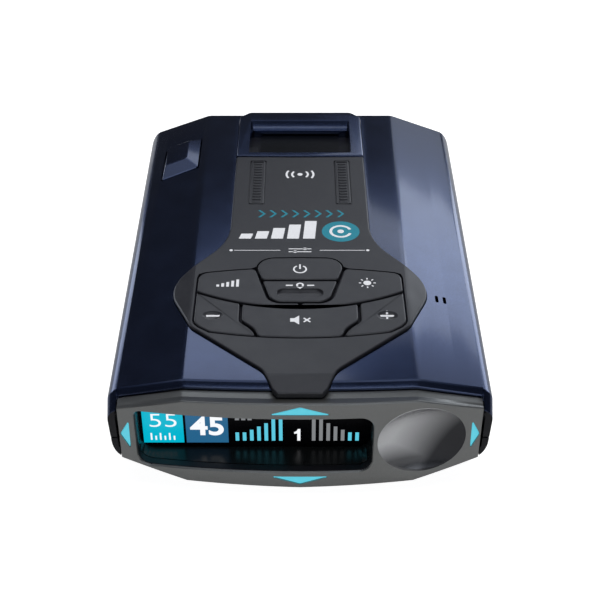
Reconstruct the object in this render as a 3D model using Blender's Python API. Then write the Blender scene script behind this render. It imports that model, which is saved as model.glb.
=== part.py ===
"""A windscreen radar detector, built from its real pieces.

Frame: +X to the driver's right, +Y towards the road, +Z up, origin at the middle of the underside.
All sizes below are millimetres; MM turns them into Blender's metres.
"""

from math import cos, hypot, pi, sin, sqrt, tau

import bmesh
import bpy
from mathutils import Vector

MM = 0.001

# ---- driving dimensions -------------------------------------------------------------------------
HALF_LENGTH = 68.5
HALF_WIDTH = 45.0               # at the front; the sides flare from there
TOP = 30.0                     # flat middle of the lid
CREASE = 27.0                  # where the lid's flat middle turns into its side facets
FACET_SLOPE = 0.23
SHOULDER = 42.3                # where a side facet rounds over into the side wall
SEAM = 15.0                    # the upper shell stands on this plane
GAP = 0.3
WALL = 1.8
INSIDE = 43.0                  # the inner faces of the side walls
FLARE = 0.0115                 # how far each side moves out per millimetre towards the road
FLARE_FROM = -62.0
LEAN = 0.054                   # how far each side wall leans in per millimetre below LEAN_FROM
LEAN_FROM = 24.0
REAR_CORNER_X = 27.5           # the rear corners are cut back outside this
REAR_CORNER_SLOPE = 0.28
BELLY_FLAT = 24.0              # half width of the flat underside
BELLY_SLOPE = 0.42

LIP_Y = -63.0                  # front edge of the lid, at the centre line
LIP_CURVE = 960.0              # the lid's front edge sweeps back by x * x / LIP_CURVE
LIP_DROP = 1.2
FACE_CURVE = 480.0             # the bezel's face sweeps back by x * x / FACE_CURVE
CHEEK = 42.63                  # outside this the shells reach forward, past the bezel's ends
CHEEK_Y = -64.2
BEZEL_SIDE = 42.3
BEZEL_BACK = -58.5
UP_SLOT_END = -67.1            # the upper arrow's slot stops short of the channel behind the face

PROUD = 0.8                    # the keypad console and the dock stand this far above the lid
COLUMN = 18.8                  # half width of the console's straight column and of the dock
COLUMN_REAR = 40.4
TONGUE_Y = -65.5               # the console's front end, past the lid's lip
KEY_GAP = 0.55
KEY_TOP = TOP + 1.0
KEY_TRAVEL = 0.6
KEY_SIDE = 26.0

WINDOW = (-38.2, 16.8, 7.8, 24.3)   # display window in the bezel: x, x, z, z
DISPLAY_Y = -59.4
HOOD = 0.7                     # thickness of the display hood's wall, round the window
DISH_X, DISH_Z, DISH_R = 28.4, 16.4, 10.2

DOCK_SLOT = (-14.1, 14.1, 43.2, 61.5)
DOCK_FLOOR = TOP - 4.2
DOCK_TOP = TOP + 1.0

BOARD_Z = 13.6
BOARD_THICK = 1.6
CASE_SCREWS = [(-38.0, -48.0), (38.0, -48.0), (-36.0, 58.0), (36.0, 58.0)]
BOARD_SCREWS = [(-29.0, -46.0), (12.0, -46.0), (-29.0, 34.0), (29.0, 34.0)]


# ---- outer surfaces, as functions of x ----------------------------------------------------------
def between(x, table):
    """Straight-line interpolation of |x| in a table of (x, value)."""
    x = abs(x)
    for (x0, v0), (x1, v1) in zip(table, table[1:]):
        if x <= x1:
            return v0 + (v1 - v0) * (x - x0) / (x1 - x0)
    return table[-1][1]


SHOULDER_Z = TOP - FACET_SLOPE * (SHOULDER - CREASE)
LID = [
    (0, TOP), (CREASE, TOP), (SHOULDER, SHOULDER_Z), (43.7, SHOULDER_Z - 0.8),
    (44.6, SHOULDER_Z - 1.8), (HALF_WIDTH, SHOULDER_Z - 3.1),
]
BELLY = [
    (0, 0), (BELLY_FLAT, 0), (SHOULDER, BELLY_SLOPE * (SHOULDER - BELLY_FLAT)),
    (43.7, 8.9), (44.6, 10.2), (HALF_WIDTH, 11.8),
]
BEZEL_BOTTOM = [(0, 2.15), (CREASE, 3.05), (BEZEL_SIDE, 8.5)]
RIDGE = [(0, 28.95), (CREASE, 28.55), (BEZEL_SIDE, 24.5)]   # top edge of the bezel's face
LEDGE_DROP = [(0, 1.95), (CREASE, 1.9), (36, 1.75), (BEZEL_SIDE, 1.75)]
CHANNEL_DROP = [(0, 2.25), (CREASE, 2.15), (36, 1.9), (BEZEL_SIDE, 1.9)]
COLUMNS = [
    0, 9, 18, BELLY_FLAT, CREASE, REAR_CORNER_X, 32, 37, SHOULDER, CHEEK - 0.03, CHEEK + 0.03,
    43.7, 44.6, HALF_WIDTH,
]


def lid(x):
    return between(x, LID)


def belly(x):
    return between(x, BELLY)


def lip(x):
    return CHEEK_Y if abs(x) > CHEEK else LIP_Y + x * x / LIP_CURVE


def lip_bevel(x):
    """How far back, and how far down, the bevel of the lid's front edge goes."""
    return (3.8, 3.0) if abs(x) > CHEEK else (1.25, LIP_DROP)


def face(x):
    return -HALF_LENGTH + x * x / FACE_CURVE


def rear(x):
    """The rear wall, with its corners cut back and their outer ends rounded."""
    cut = max(0.0, abs(x) - REAR_CORNER_X) * REAR_CORNER_SLOPE
    return HALF_LENGTH - cut - between(x, [(0, 0), (SHOULDER, 0), (43.7, 0.9), (HALF_WIDTH, 3.5)])


def flare(y):
    return FLARE * max(0.0, y - FLARE_FROM)


def cased(x, y, z):
    """A point of the casing: its column x, moved out by the flare and in by the side wall's lean."""
    out = flare(y) * min(1.0, abs(x) / CREASE)
    lean = LEAN * max(0.0, LEAN_FROM - z) * max(0.0, abs(x) - CHEEK) / (HALF_WIDTH - CHEEK)
    return (x + (out - lean if x > 0 else lean - out), y, z)


def lid_over(x, y):
    """The lid's height over a real place, where lid() takes the column that the flare moves there."""
    return lid(max(0.0, abs(x) - flare(y)))


def front_rise(x):
    """How far the underside rises where it meets the bezel."""
    return 2.0 - 1.2 * (x / HALF_WIDTH) ** 2


def mirrored(values):
    return sorted({-v for v in values} | set(values))


# ---- modelling helpers --------------------------------------------------------------------------
def material(name, colour, roughness, metallic=0.0):
    made = bpy.data.materials.new(name)
    made.use_nodes = True
    shader = made.node_tree.nodes["Principled BSDF"]
    shader.inputs["Base Color"].default_value = (*colour, 1)
    shader.inputs["Roughness"].default_value = roughness
    shader.inputs["Metallic"].default_value = metallic
    return made


def is_flat(face):
    middle = face.calc_center_median()
    return all(abs((v.co - middle).dot(face.normal)) < 1e-5 for v in face.verts)


def solid(name, mesh, finish):
    """A finished bmesh, in millimetres, as a named object with its faces pointing out."""
    bmesh.ops.remove_doubles(mesh, verts=mesh.verts, dist=1e-4)
    bmesh.ops.recalc_face_normals(mesh, faces=mesh.faces)
    # a face that isn't flat becomes triangles, so that every Boolean reads it in the same way
    bmesh.ops.triangulate(mesh, faces=[f for f in mesh.faces if not is_flat(f)])
    bmesh.ops.scale(mesh, vec=(MM, MM, MM), verts=mesh.verts)
    data = bpy.data.meshes.new(name)
    mesh.to_mesh(data)
    mesh.free()
    data.materials.append(finish)
    data.shade_smooth()
    data.set_sharp_from_angle(angle=pi / 6)
    made = bpy.data.objects.new(name, data)
    bpy.context.scene.collection.objects.link(made)
    return made


def loft(name, rings, finish):
    """A closed solid through rings with the same number of points, capped at both ends."""
    mesh = bmesh.new()
    rows = [[mesh.verts.new(p) for p in ring] for ring in rings]
    for row, after in zip(rows, rows[1:]):
        for i in range(len(row)):
            j = (i + 1) % len(row)
            mesh.faces.new((row[i], row[j], after[j], after[i]))
    mesh.faces.new(rows[0])
    mesh.faces.new(reversed(rows[-1]))
    return solid(name, mesh, finish)


def prism(name, outline, z0, z1, finish):
    """An outline in x and y, extruded from z0 to z1. Either height may be a function of x."""
    low = z0 if callable(z0) else lambda x: z0
    high = z1 if callable(z1) else lambda x: z1
    return loft(
        name,
        [[(x, y, low(x)) for x, y in outline], [(x, y, high(x)) for x, y in outline]],
        finish,
    )


def prism_y(name, outline, y0, y1, finish):
    """An outline in x and z, extruded from y0 to y1."""
    return loft(name, [[(x, y, z) for x, z in outline] for y in (y0, y1)], finish)


def box(name, low, high, finish):
    (x0, y0, z0), (x1, y1, z1) = low, high
    return prism(name, [(x0, y0), (x1, y0), (x1, y1), (x0, y1)], z0, z1, finish)


def disc(centre, radius, sides):
    cx, cy = centre
    return [(cx + radius * cos(tau * i / sides), cy + radius * sin(tau * i / sides)) for i in range(sides)]


def cylinder(name, centre, radius, z0, z1, finish, sides=20):
    return prism(name, disc(centre, radius, sides), z0, z1, finish)


def turned(name, centre, profile, finish, sides=20):
    """A solid turned about a vertical axis through centre, from (radius, z) points, bottom to top."""
    cx, cy = centre
    rings = [[(x, y, z) for x, y in disc((cx, cy), r, sides)] for r, z in profile]
    return loft(name, rings, finish)


def rounded(corners, radii, steps=4):
    """A closed outline through corners, each rounded with an arc of its own radius."""
    points = []
    count = len(corners)
    for i, radius in enumerate(radii):
        corner = Vector(corners[i])
        into = (Vector(corners[i - 1]) - corner).normalized()
        out = (Vector(corners[(i + 1) % count]) - corner).normalized()
        if radius == 0:
            points.append(tuple(corner))
            continue
        half = into.angle(out) / 2
        reach = radius * cos(half) / sin(half)
        middle = corner + (into + out).normalized() * (radius / sin(half))
        start, end = corner + into * reach - middle, corner + out * reach - middle
        turn = start.angle_signed(end)
        for k in range(steps + 1):
            angle = -turn * k / steps
            points.append((
                middle.x + start.x * cos(angle) - start.y * sin(angle),
                middle.y + start.x * sin(angle) + start.y * cos(angle),
            ))
    return points


def both_sides(half):
    """A closed outline from its right half, given from the centre line round to the centre line."""
    left = [(-x, y) for x, y in reversed(half) if abs(x) > 1e-6]
    return half + left


def rectangle(x0, x1, y0, y1, radius=0.0, steps=4):
    corners = [(x0, y0), (x1, y0), (x1, y1), (x0, y1)]
    return rounded(corners, [radius] * 4, steps)


def curve_points(height, x0, x1, count):
    return [(x0 + (x1 - x0) * i / count, height(x0 + (x1 - x0) * i / count)) for i in range(count + 1)]


def combine(target, others, operation):
    """Applies a Boolean of target with each of others, which are used up."""
    for other in others:
        step = target.modifiers.new(operation, "BOOLEAN")
        step.operation = operation
        step.solver = "EXACT"
        step.object = other
        graph = bpy.context.evaluated_depsgraph_get()
        data = bpy.data.meshes.new_from_object(target.evaluated_get(graph))
        target.modifiers.clear()
        target.data = data
        bpy.data.objects.remove(other)
    target.data.shade_smooth()
    target.data.set_sharp_from_angle(angle=pi / 6)
    return target


def cut(target, *others):
    return combine(target, others, "DIFFERENCE")


def join(target, *others):
    return combine(target, others, "UNION")


def overlap(target, *others):
    return combine(target, others, "INTERSECT")


# ---- outlines seen from above -------------------------------------------------------------------
def console_outline(grow=0.0):
    """The keypad console: a straight column, a wide key field and a tongue over the front edge."""
    g = grow
    corners = [
        (COLUMN + g, COLUMN_REAR + g), (COLUMN + g, -4.6), (33.7 + g, -24.5 - g / 4),
        (26.6 + g, -41.9 - g / 2), (8.6 + g, -58.3 - g / 2), (6.3 + g, -64.2), (5.2 + g, TONGUE_Y - g),
    ]
    half = rounded([(0, 50), *corners, (0, TONGUE_Y - g), (-60, 0)], [0, 0.8, 22, 12, 5, 7, 0, 0, 0, 0])
    return both_sides([(0, COLUMN_REAR + g), *half[1:-2], (0, TONGUE_Y - g)])


def belt(x):
    """The groove between the upper and the lower keys."""
    radius = 54.6
    return -34.65 + radius - sqrt(radius * radius - x * x)


def field_top(x):
    return -17.3 - x * x / 260


def field_bottom(x):
    return -46.5 + x * x / 210


def shield_outline(grow=0.0):
    """The shield of the power and mark keys, from the centre line at the top round to the centre line."""
    top, bottom = -12.7 + grow, -32.15 - grow
    corners = [(0, top), (12.3 + grow, top - 0.3), (7.2 + grow, bottom), (0, bottom), (-40, -21)]
    return rounded(corners, [0, 4.4 + grow, 3.6 + grow, 0, 0])[:-1]


def upper_key_outline():
    """The right upper key: outside the shield, above the belt, meeting its twin at the centre line."""
    start = KEY_GAP / 2
    low = curve_points(lambda x: belt(x) + KEY_GAP / 2, start, KEY_SIDE, 9)
    shoulder = [(KEY_SIDE, field_top(KEY_SIDE) - 1.9), (KEY_SIDE - 0.5, field_top(KEY_SIDE) - 0.6),
                (KEY_SIDE - 1.7, field_top(KEY_SIDE - 1.7))]
    top = curve_points(field_top, KEY_SIDE - 4, 12.1, 3)
    shield = [p for p in shield_outline(KEY_GAP) if p[1] < field_top(12) - 0.6 and p[0] > start]
    return low + shoulder + top + shield + [(start, -32.15 - KEY_GAP)]


def volume_key_outline():
    """The right lower key."""
    top = curve_points(lambda x: belt(x) - KEY_GAP / 2, KEY_SIDE, 14.9, 4)
    side = [(14.9, -39.7), (14.3, -40.8), (12.6, -42.4), (11.3, -44.1), (10.7, field_bottom(10.7))]
    bottom = curve_points(field_bottom, 14.5, 22.0, 2)
    return top + side + bottom + [(KEY_SIDE - 1.4, -42.2), (KEY_SIDE - 0.4, -40.9), (KEY_SIDE, -39.7)]


def mute_key_outline():
    top = curve_points(lambda x: belt(x) - KEY_GAP / 2, 0, 14.9 - KEY_GAP, 5)
    side = [(14.9 - KEY_GAP, -39.4), (13.8, -40.4), (12.1, -42.0), (10.8, -43.7),
            (10.7 - KEY_GAP, field_bottom(10))]
    return both_sides(top + side + [(5, field_bottom(5)), (0, field_bottom(0))])


def key_field_outline(grow):
    """The opening in the console that all the keys stand in."""
    g = grow
    shield = [p for p in shield_outline(g) if p[1] > field_top(12) + g]
    top = curve_points(lambda x: field_top(x) + g, 12.3 + g, KEY_SIDE - 1.7, 3)
    side = [
        (KEY_SIDE - 0.4 + g, field_top(KEY_SIDE) - 0.5 + g), (KEY_SIDE + g, field_top(KEY_SIDE) - 1.8), (KEY_SIDE + g, -39.7),
        (KEY_SIDE - 0.4 + g, -41.1), (KEY_SIDE - 1.4 + g / 2, -42.2 - g),
    ]
    bottom = curve_points(lambda x: field_bottom(x) - g, 22.0, 0, 4)
    return both_sides(shield + top + side + bottom)


# the opening in the lid, under the console, that the keys' plungers pass through
KEY_HOLE = both_sides([
    (0, -14.4), (8, -14.4), (10, -20.4), (23.5, -22.4), (23.5, -39.8), (19, -41.8), (8, -43.8), (0, -43.8),
])


def mirror_outline(outline):
    return [(-x, y) for x, y in outline]


# ---- materials ----------------------------------------------------------------------------------
def make_materials():
    return {
        "shell": material("navy_metallic_paint", (0.010, 0.014, 0.045), 0.22, 0.4),
        "case": material("black_moulded_plastic", (0.015, 0.015, 0.018), 0.5),
        "bezel": material("grey_satin_plastic", (0.12, 0.125, 0.12), 0.38, 0.3),
        "console": material("charcoal_soft_touch", (0.045, 0.047, 0.055), 0.5),
        "key": material("charcoal_key", (0.06, 0.06, 0.068), 0.48),
        "rubber": material("silicone_rubber", (0.25, 0.25, 0.26), 0.7),
        "gloss": material("gloss_black", (0.005, 0.005, 0.006), 0.08),
        "screen": material("display_glass", (0.004, 0.004, 0.006), 0.05),
        "light": material("cyan_light_guide", (0.1, 0.65, 0.78), 0.2),
        "board": material("circuit_board", (0.01, 0.10, 0.05), 0.45),
        "metal": material("cast_metal", (0.55, 0.56, 0.57), 0.35, 1.0),
        "steel": material("dark_steel", (0.06, 0.06, 0.065), 0.35, 1.0),
        "ceramic": material("patch_ceramic", (0.62, 0.55, 0.42), 0.6),
        "film": material("flex_film", (0.45, 0.20, 0.04), 0.4),
        "infrared": material("infrared_lens", (0.03, 0.004, 0.006), 0.06),
    }


# ---- casing -------------------------------------------------------------------------------------
def make_upper_shell(finish):
    shell = loft("upper_shell", [
        [cased(x, rear(x), SEAM), cased(x, rear(x), lid(x) - 0.6), cased(x, rear(x) - 0.6, lid(x)),
         cased(x, lip(x) + lip_bevel(x)[0], lid(x)), cased(x, lip(x), lid(x) - lip_bevel(x)[1]),
         cased(x, lip(x), SEAM)]
        for x in mirrored(COLUMNS)
    ], finish)
    ceiling = [(0, TOP - WALL), (CREASE, TOP - WALL), (41.0, lid(41.0) - WALL), (INSIDE, 22.8)]
    cavity = loft("cavity", [
        [cased(x, rear(x) - 2, SEAM - 1), cased(x, rear(x) - 2, between(x, ceiling)),
         cased(x, lip(x) - 5, between(x, ceiling)), cased(x, lip(x) - 5, SEAM - 1)]
        for x in mirrored([0, 14, CREASE, REAR_CORNER_X, 36, 41.0, INSIDE])
    ], finish)
    cut(shell, cavity)
    bosses = [cylinder("boss", c, 2.8, SEAM + GAP, lid(c[0]) - 1.0, finish, 14) for c in CASE_SCREWS]
    join(shell, *bosses)
    pilots = [cylinder("pilot", c, 1.5, SEAM - 1, 24.0, finish, 12) for c in CASE_SCREWS]
    cut(shell, *pilots)

    pocket = prism("pocket", console_outline(GAP), 20, TOP + 3, finish)
    under_console = console_slab("slab", 0.9, 5.0, finish)
    overlap(pocket, under_console)
    key_hole = prism("key_hole", KEY_HOLE, 20, TOP + 3, finish)
    dock_hole = prism("dock_hole", dock_outline(GAP), DOCK_FLOOR - 1.5, TOP + 3, finish)
    cut(shell, pocket, key_hole, dock_hole)

    button_hole = prism("button_hole", release_outline(0.35), 20, TOP + 3, finish)
    low, high = PORT_PANEL
    panel_hole = box("panel_hole", (-50, low - GAP, SEAM - 1), (-40, high + GAP, PORT_PANEL_TOP + GAP), finish)
    lens_hole = prism_y("lens_hole", rectangle(-11.3, 11.3, 16.7, 23.6, 1.3), 60, 75, finish)
    cut(shell, button_hole, panel_hole, lens_hole)
    microphone_slots = [
        prism("slot", rectangle(x - 0.45, x + 0.45, -29.0, -26.2, 0.4, 3), 20, TOP + 3, finish)
        for x in (34.6, 36.6)
    ]
    return cut(shell, *microphone_slots)


def make_lower_shell(finish):
    seam = SEAM - GAP
    shell = loft("lower_shell", [
        [cased(x, lip(x), seam), cased(x, lip(x), belly(x) + front_rise(x)), cased(x, -56, belly(x)),
         cased(x, rear(x) - 2, belly(x)), cased(x, rear(x), belly(x) + front_rise(x)),
         cased(x, rear(x), seam)]
        for x in mirrored(COLUMNS)
    ], finish)

    def floor(x):
        return between(x, [(0, WALL), (BELLY_FLAT, WALL), (41.0, belly(41.0) + WALL), (INSIDE, 11.2)])

    cavity = loft("cavity", [
        [cased(x, lip(x) - 5, SEAM + 1), cased(x, lip(x) - 5, floor(x) + front_rise(x)),
         cased(x, lip(x), floor(x) + front_rise(x)), cased(x, -56, floor(x)),
         cased(x, rear(x) - 3, floor(x)), cased(x, rear(x) - 2, floor(x) + 2),
         cased(x, rear(x) - 2, SEAM + 1)]
        for x in mirrored([0, BELLY_FLAT, REAR_CORNER_X, 36, 41.0, INSIDE])
    ], finish)
    cut(shell, cavity)
    posts = [cylinder("post", c, 2.8, belly(c[0]) + 1.0, seam - 0.2, finish, 14) for c in CASE_SCREWS]
    posts += [
        cylinder("post", c, 1.9, belly(c[0]) + 1.0, BOARD_Z - GAP, finish, 12) for c in BOARD_SCREWS
    ]
    spring_post = cylinder("post", SPRING_AT, 2.0, belly(SPRING_AT[0]) + 1.0, SPRING_LOW - GAP, finish, 12)
    join(shell, *posts, spring_post)
    holes = []
    for c in CASE_SCREWS:
        holes.append(cylinder("hole", c, 1.5, -5, SEAM + 2, finish, 12))
        holes.append(cylinder("head_hole", c, 2.6, -5, belly(c[0]) + 4.4, finish, 16))
    for c in BOARD_SCREWS:
        holes.append(cylinder("pilot", c, 1.0, 6.0, SEAM + 2, finish, 10))
    grille = [
        prism("slot", rectangle(x - 0.6, x + 0.6, SPEAKER_Y - reach, SPEAKER_Y + reach, 0.55, 3), -2, 4, finish)
        for x, reach in [(-7.2, 6), (-3.6, 8.5), (0, 9.2), (3.6, 8.5), (7.2, 6)]
    ]
    label_recess = prism("recess", rectangle(-20, 20, 12, 44, 2.0), -2, 0.3, finish)
    hood_relief = hood_block("relief", HOOD + GAP, 1.0, -55.0, finish)
    return cut(shell, *holes, *grille, label_recess, hood_relief)


def make_front_bezel(finish):
    """The driver's side: a swept face with the display window, four arrow slots and the round dish."""
    def ring(x):
        spigot, bottom = lid(x) - WALL - GAP, between(x, BEZEL_BOTTOM)
        ledge, channel = lid(x) - between(x, LEDGE_DROP), lid(x) - between(x, CHANNEL_DROP)
        ridge = between(x, RIDGE)
        inner = belly(x) + front_rise(x) + WALL + GAP
        step = lip(x) - GAP
        return [
            (x, BEZEL_BACK, inner), (x, BEZEL_BACK, spigot), (x, step, spigot), (x, step - 0.02, ledge),
            (x, lip(x) - 2.2, channel), (x, face(x) + 0.9, ridge - 0.15),
            (x, face(x) + 0.3, ridge), (x, face(x), ridge - 0.35), (x, face(x), bottom + 0.5),
            (x, face(x) + 0.5, bottom), (x, step, bottom), (x, step, inner),
        ]

    columns = mirrored([0, 8, 16, CREASE, 35, BEZEL_SIDE])
    bezel = loft("front_bezel", [ring(x) for x in columns], finish)
    hollow = loft("hollow", [
        [(x, face(x) + 2.2, belly(x) + front_rise(x) + 3.8), (x, face(x) + 2.2, lid(x) - 4.2),
         (x, -50, lid(x) - 4.2), (x, -50, belly(x) + front_rise(x) + 3.8)]
        for x in mirrored([0, 8, 16, CREASE, 35, BEZEL_SIDE - 1.6])
    ], finish)
    window = prism_y("window", window_outline(), -80, -50, finish)
    # the back of the dish stays closed by a thicker pad behind it
    pad = prism_y("pad", disc((DISH_X, DISH_Z), DISH_R - 0.5, 20), -66.2, -63.0, finish)
    depth = 2.3
    ball_r = (DISH_R ** 2 + depth ** 2) / (2 * depth)
    ball = dish_ball("ball", ball_r, depth, finish)
    sides = [box("side", (min(x, x + 9 * s), -61.6, 0), (max(x, x + 9 * s), -50, 40), finish)
             for s, x in ((-1, -41.2), (1, 41.2))]
    cut(bezel, hollow, hood_block("relief", HOOD + GAP, 2.2, -50, finish), *sides)
    join(bezel, pad)
    slots = [
        prism_y("slot", grow_outline(arrow, 0.25), -80, UP_SLOT_END if "up" in name else -50, finish)
        for name, arrow in arrow_outlines().items()
    ]
    return cut(bezel, window, ball, *slots)


def window_outline(grow=0.0):
    """The display window, in x and z, with a tighter corner at its top left."""
    x0, x1, z0, z1 = WINDOW
    g = grow
    corners = [(x0 - g, z0 - g), (x1 + g, z0 - g), (x1 + g, z1 + g), (x0 - g, z1 + g)]
    return rounded(corners, [3.2 + g, 3.2 + g, 3.0 + g, 1.3 + g])


def hood_block(name, grow, behind_face, y_back, finish):
    """The window's outline grown, from a little behind the bezel's face to y_back."""
    block = prism_y(name, window_outline(grow), -80, -45, finish)
    slab = loft("slab", [
        [(x, face(x) + behind_face, 0), (x, face(x) + behind_face, 40), (x, y_back, 40), (x, y_back, 0)]
        for x in (-43, -35, -26, -13, 0, 12, 22)
    ], finish)
    return overlap(block, slab)


def dish_ball(name, ball_r, depth, finish):
    """A cutter whose front leaves a shallow spherical dish, with its axis square to the swept face."""
    slope = 2 * DISH_X / FACE_CURVE
    normal = Vector((slope, -1, 0)).normalized()
    middle = Vector((DISH_X, face(DISH_X), DISH_Z)) + normal * (ball_r - depth)
    mesh = bmesh.new()
    rings, sides = 6, 28
    side, up = Vector((-normal.y, normal.x, 0)), Vector((0, 0, 1))
    reach = 1.15 * DISH_R / ball_r
    rows = []
    for i in range(1, rings + 1):
        angle = reach * i / rings
        rows.append([
            mesh.verts.new(middle - normal * ball_r * cos(angle)
                           + (side * cos(tau * k / sides) + up * sin(tau * k / sides)) * ball_r * sin(angle))
            for k in range(sides)
        ])
    rows.append([mesh.verts.new(v.co + normal * 12) for v in rows[-1]])
    pole = mesh.verts.new(middle - normal * ball_r)
    for k in range(sides):
        j = (k + 1) % sides
        mesh.faces.new((pole, rows[0][k], rows[0][j]))
        for row, after in zip(rows, rows[1:]):
            mesh.faces.new((row[k], after[k], after[j], row[j]))
    mesh.faces.new(rows[-1])
    return solid(name, mesh, finish)


def arrow_outlines():
    """The four arrows of the bezel, in x and z."""
    return {
        "arrow_light_up": [(-6.6, 25.75), (6.6, 25.75), (0, 27.9)],
        "arrow_light_down": [(-6.4, 6.1), (0, 3.9), (6.4, 6.1)],
        "arrow_light_left": [(-40.0, 12.8), (-39.9, 20.4), (-41.9, 16.6)],
        "arrow_light_right": [(40.0, 12.8), (41.9, 16.6), (39.9, 20.4)],
    }


def grow_outline(corners, grow):
    """A triangle with each side moved outwards by grow."""
    cx = sum(p[0] for p in corners) / 3
    cz = sum(p[1] for p in corners) / 3
    inner = min(
        abs((b[0] - a[0]) * (a[1] - cz) - (a[0] - cx) * (b[1] - a[1])) / hypot(b[0] - a[0], b[1] - a[1])
        for a, b in zip(corners, corners[1:] + corners[:1])
    )
    factor = (inner + grow) / inner
    return [(cx + (x - cx) * factor, cz + (z - cz) * factor) for x, z in corners]


def make_arrow_lights(finish):
    for name, corners in arrow_outlines().items():
        deep = 1.2 if "up" in name else 3.4
        rings = [
            [(x, face(x), z) for x, z in corners],
            [(x, face(x) + deep, z) for x, z in corners],
        ]
        loft(name, rings, finish)


def console_slab(name, below, above, finish):
    """The layer that the console is cut from: it follows the lid, and bends down over the front lip."""
    def ring(x):
        return [
            cased(x, 46, lid(x) - below), cased(x, -60.6, lid(x) - below),
            cased(x, -68, lid(x) - below - 0.85), cased(x, -68, lid(x) + above - 1.5),
            cased(x, -60.2, lid(x) + above), cased(x, 46, lid(x) + above),
        ]
    return loft(name, [ring(x) for x in mirrored([0, CREASE, 36])], finish)


def make_keypad_console(finish):
    console = prism("keypad_console", console_outline(), 20, TOP + 6, finish)
    overlap(console, console_slab("slab", 0.6, PROUD, finish))
    field = prism("field", key_field_outline(KEY_GAP / 2 + 0.1), 20, TOP + 3, finish)
    strips = [prism("strip", rib_strip_outline(side, GAP), TOP + 0.2, TOP + 3, finish) for side in (-1, 1)]
    return cut(console, field, *strips)


def rib_strip_outline(side, grow=0.0):
    edges = sorted((side * (10.2 - grow), side * (14.3 + grow)))
    return rectangle(*edges, 14.1 - grow, 37.9 + grow, 0.5, 2)


def make_rib_strips(finish):
    """The two ribbed strips that the windscreen mount's feet rest against."""
    for name, side in (("rib_strip_left", -1), ("rib_strip_right", 1)):
        strip = prism(name, rib_strip_outline(side), TOP + 0.5, TOP + 0.95, finish)
        ribs = 14
        pitch = 23.0 / ribs
        grooves = [
            box("groove", (min(side * 9, side * 13.5), 15.0 + pitch * i, TOP + 0.72),
                (max(side * 9, side * 13.5), 15.0 + pitch * i + 0.75, TOP + 2), finish)
            for i in range(ribs)
        ]
        cut(strip, *grooves)


# ---- keys ---------------------------------------------------------------------------------------
KEY_PLUNGERS = {
    "power_key": (0, -17.9), "mark_key": (0, -26.9), "sensitivity_key": (-18.5, -24.9),
    "brightness_key": (18.5, -24.9), "volume_down_key": (-20.0, -37.85),
    "volume_up_key": (20.0, -37.85), "mute_key": (0, -40.8),
}


def make_keys(finish):
    divide = -22.9
    shield = both_sides(shield_outline())
    outlines = {
        "power_key": shield, "mark_key": shield,
        "sensitivity_key": mirror_outline(upper_key_outline()), "brightness_key": upper_key_outline(),
        "volume_down_key": mirror_outline(volume_key_outline()), "volume_up_key": volume_key_outline(),
        "mute_key": mute_key_outline(),
    }
    for name, outline in outlines.items():
        key = prism(name, outline, TOP - 0.1, KEY_TOP, finish)
        if name == "power_key":
            cut(key, box("below", (-20, -40, 20), (20, divide + KEY_GAP / 2, 40), finish))
        if name == "mark_key":
            thumb = prism("thumb", rectangle(-5.6, 5.6, -29.65, -25.95, 1.8), KEY_TOP - 0.5, 40, finish)
            cut(key, box("above", (-20, divide - KEY_GAP / 2, 20), (20, 0, 40), finish), thumb)
        if name.startswith("volume"):
            side = -1 if "down" in name else 1
            cut(key, cylinder("cup", (side * 21.3, -37.85), 2.0, KEY_TOP - 0.45, 40, finish, 16))
        join(key, cylinder("plunger", KEY_PLUNGERS[name], 1.6, TOP - 3.0, TOP + 0.2, finish, 12))


def make_key_board(finish, rubber):
    outline = rectangle(-26.0, 26.0, -47.3, -10.9, 2.0)
    prism("key_board", outline, 23.2, 24.7, finish)
    mat = prism("key_mat", outline, 25.0, 25.7, rubber)
    domes = [
        turned("dome", c, [(2.6, 25.4), (2.0, 26.0), (1.2, 26.1)], rubber, 12)
        for c in KEY_PLUNGERS.values()
    ]
    join(mat, *domes)


# ---- display ------------------------------------------------------------------------------------
def make_display(gloss, screen, board, film):
    x0, x1, z0, z1 = WINDOW
    hood = hood_block("display_hood", HOOD, 2.5, DISPLAY_Y - GAP, gloss)
    cut(hood, prism_y("bore", window_outline(0.1), -80, -50, gloss))
    prism_y("display_panel", window_outline(HOOD), DISPLAY_Y, DISPLAY_Y + 1.8, screen)
    box("display_board", (x0 + 3, DISPLAY_Y + 2.1, z0 + 2), (x1, DISPLAY_Y + 3.7, z1 - 1.0), board)
    # the ribbon leaves the display board, and folds down on to the main board
    y0, width = DISPLAY_Y + 4.0, 9.0
    path = [
        (y0, 20.0), (y0 + 0.9, 20.9), (y0 + 3.6, 20.2), (y0 + 5.2, 17.4), (y0 + 7.0, 15.7), (y0 + 11.0, 15.5),
    ]
    thick = 0.25
    outline = path + [(y + 0.05, z + thick) for y, z in reversed(path)]
    loft("display_ribbon", [[(x, y, z) for y, z in outline] for x in (-12 - width / 2, -12 + width / 2)], film)


# ---- electronics --------------------------------------------------------------------------------
SPEAKER_Y = -22.0


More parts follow.
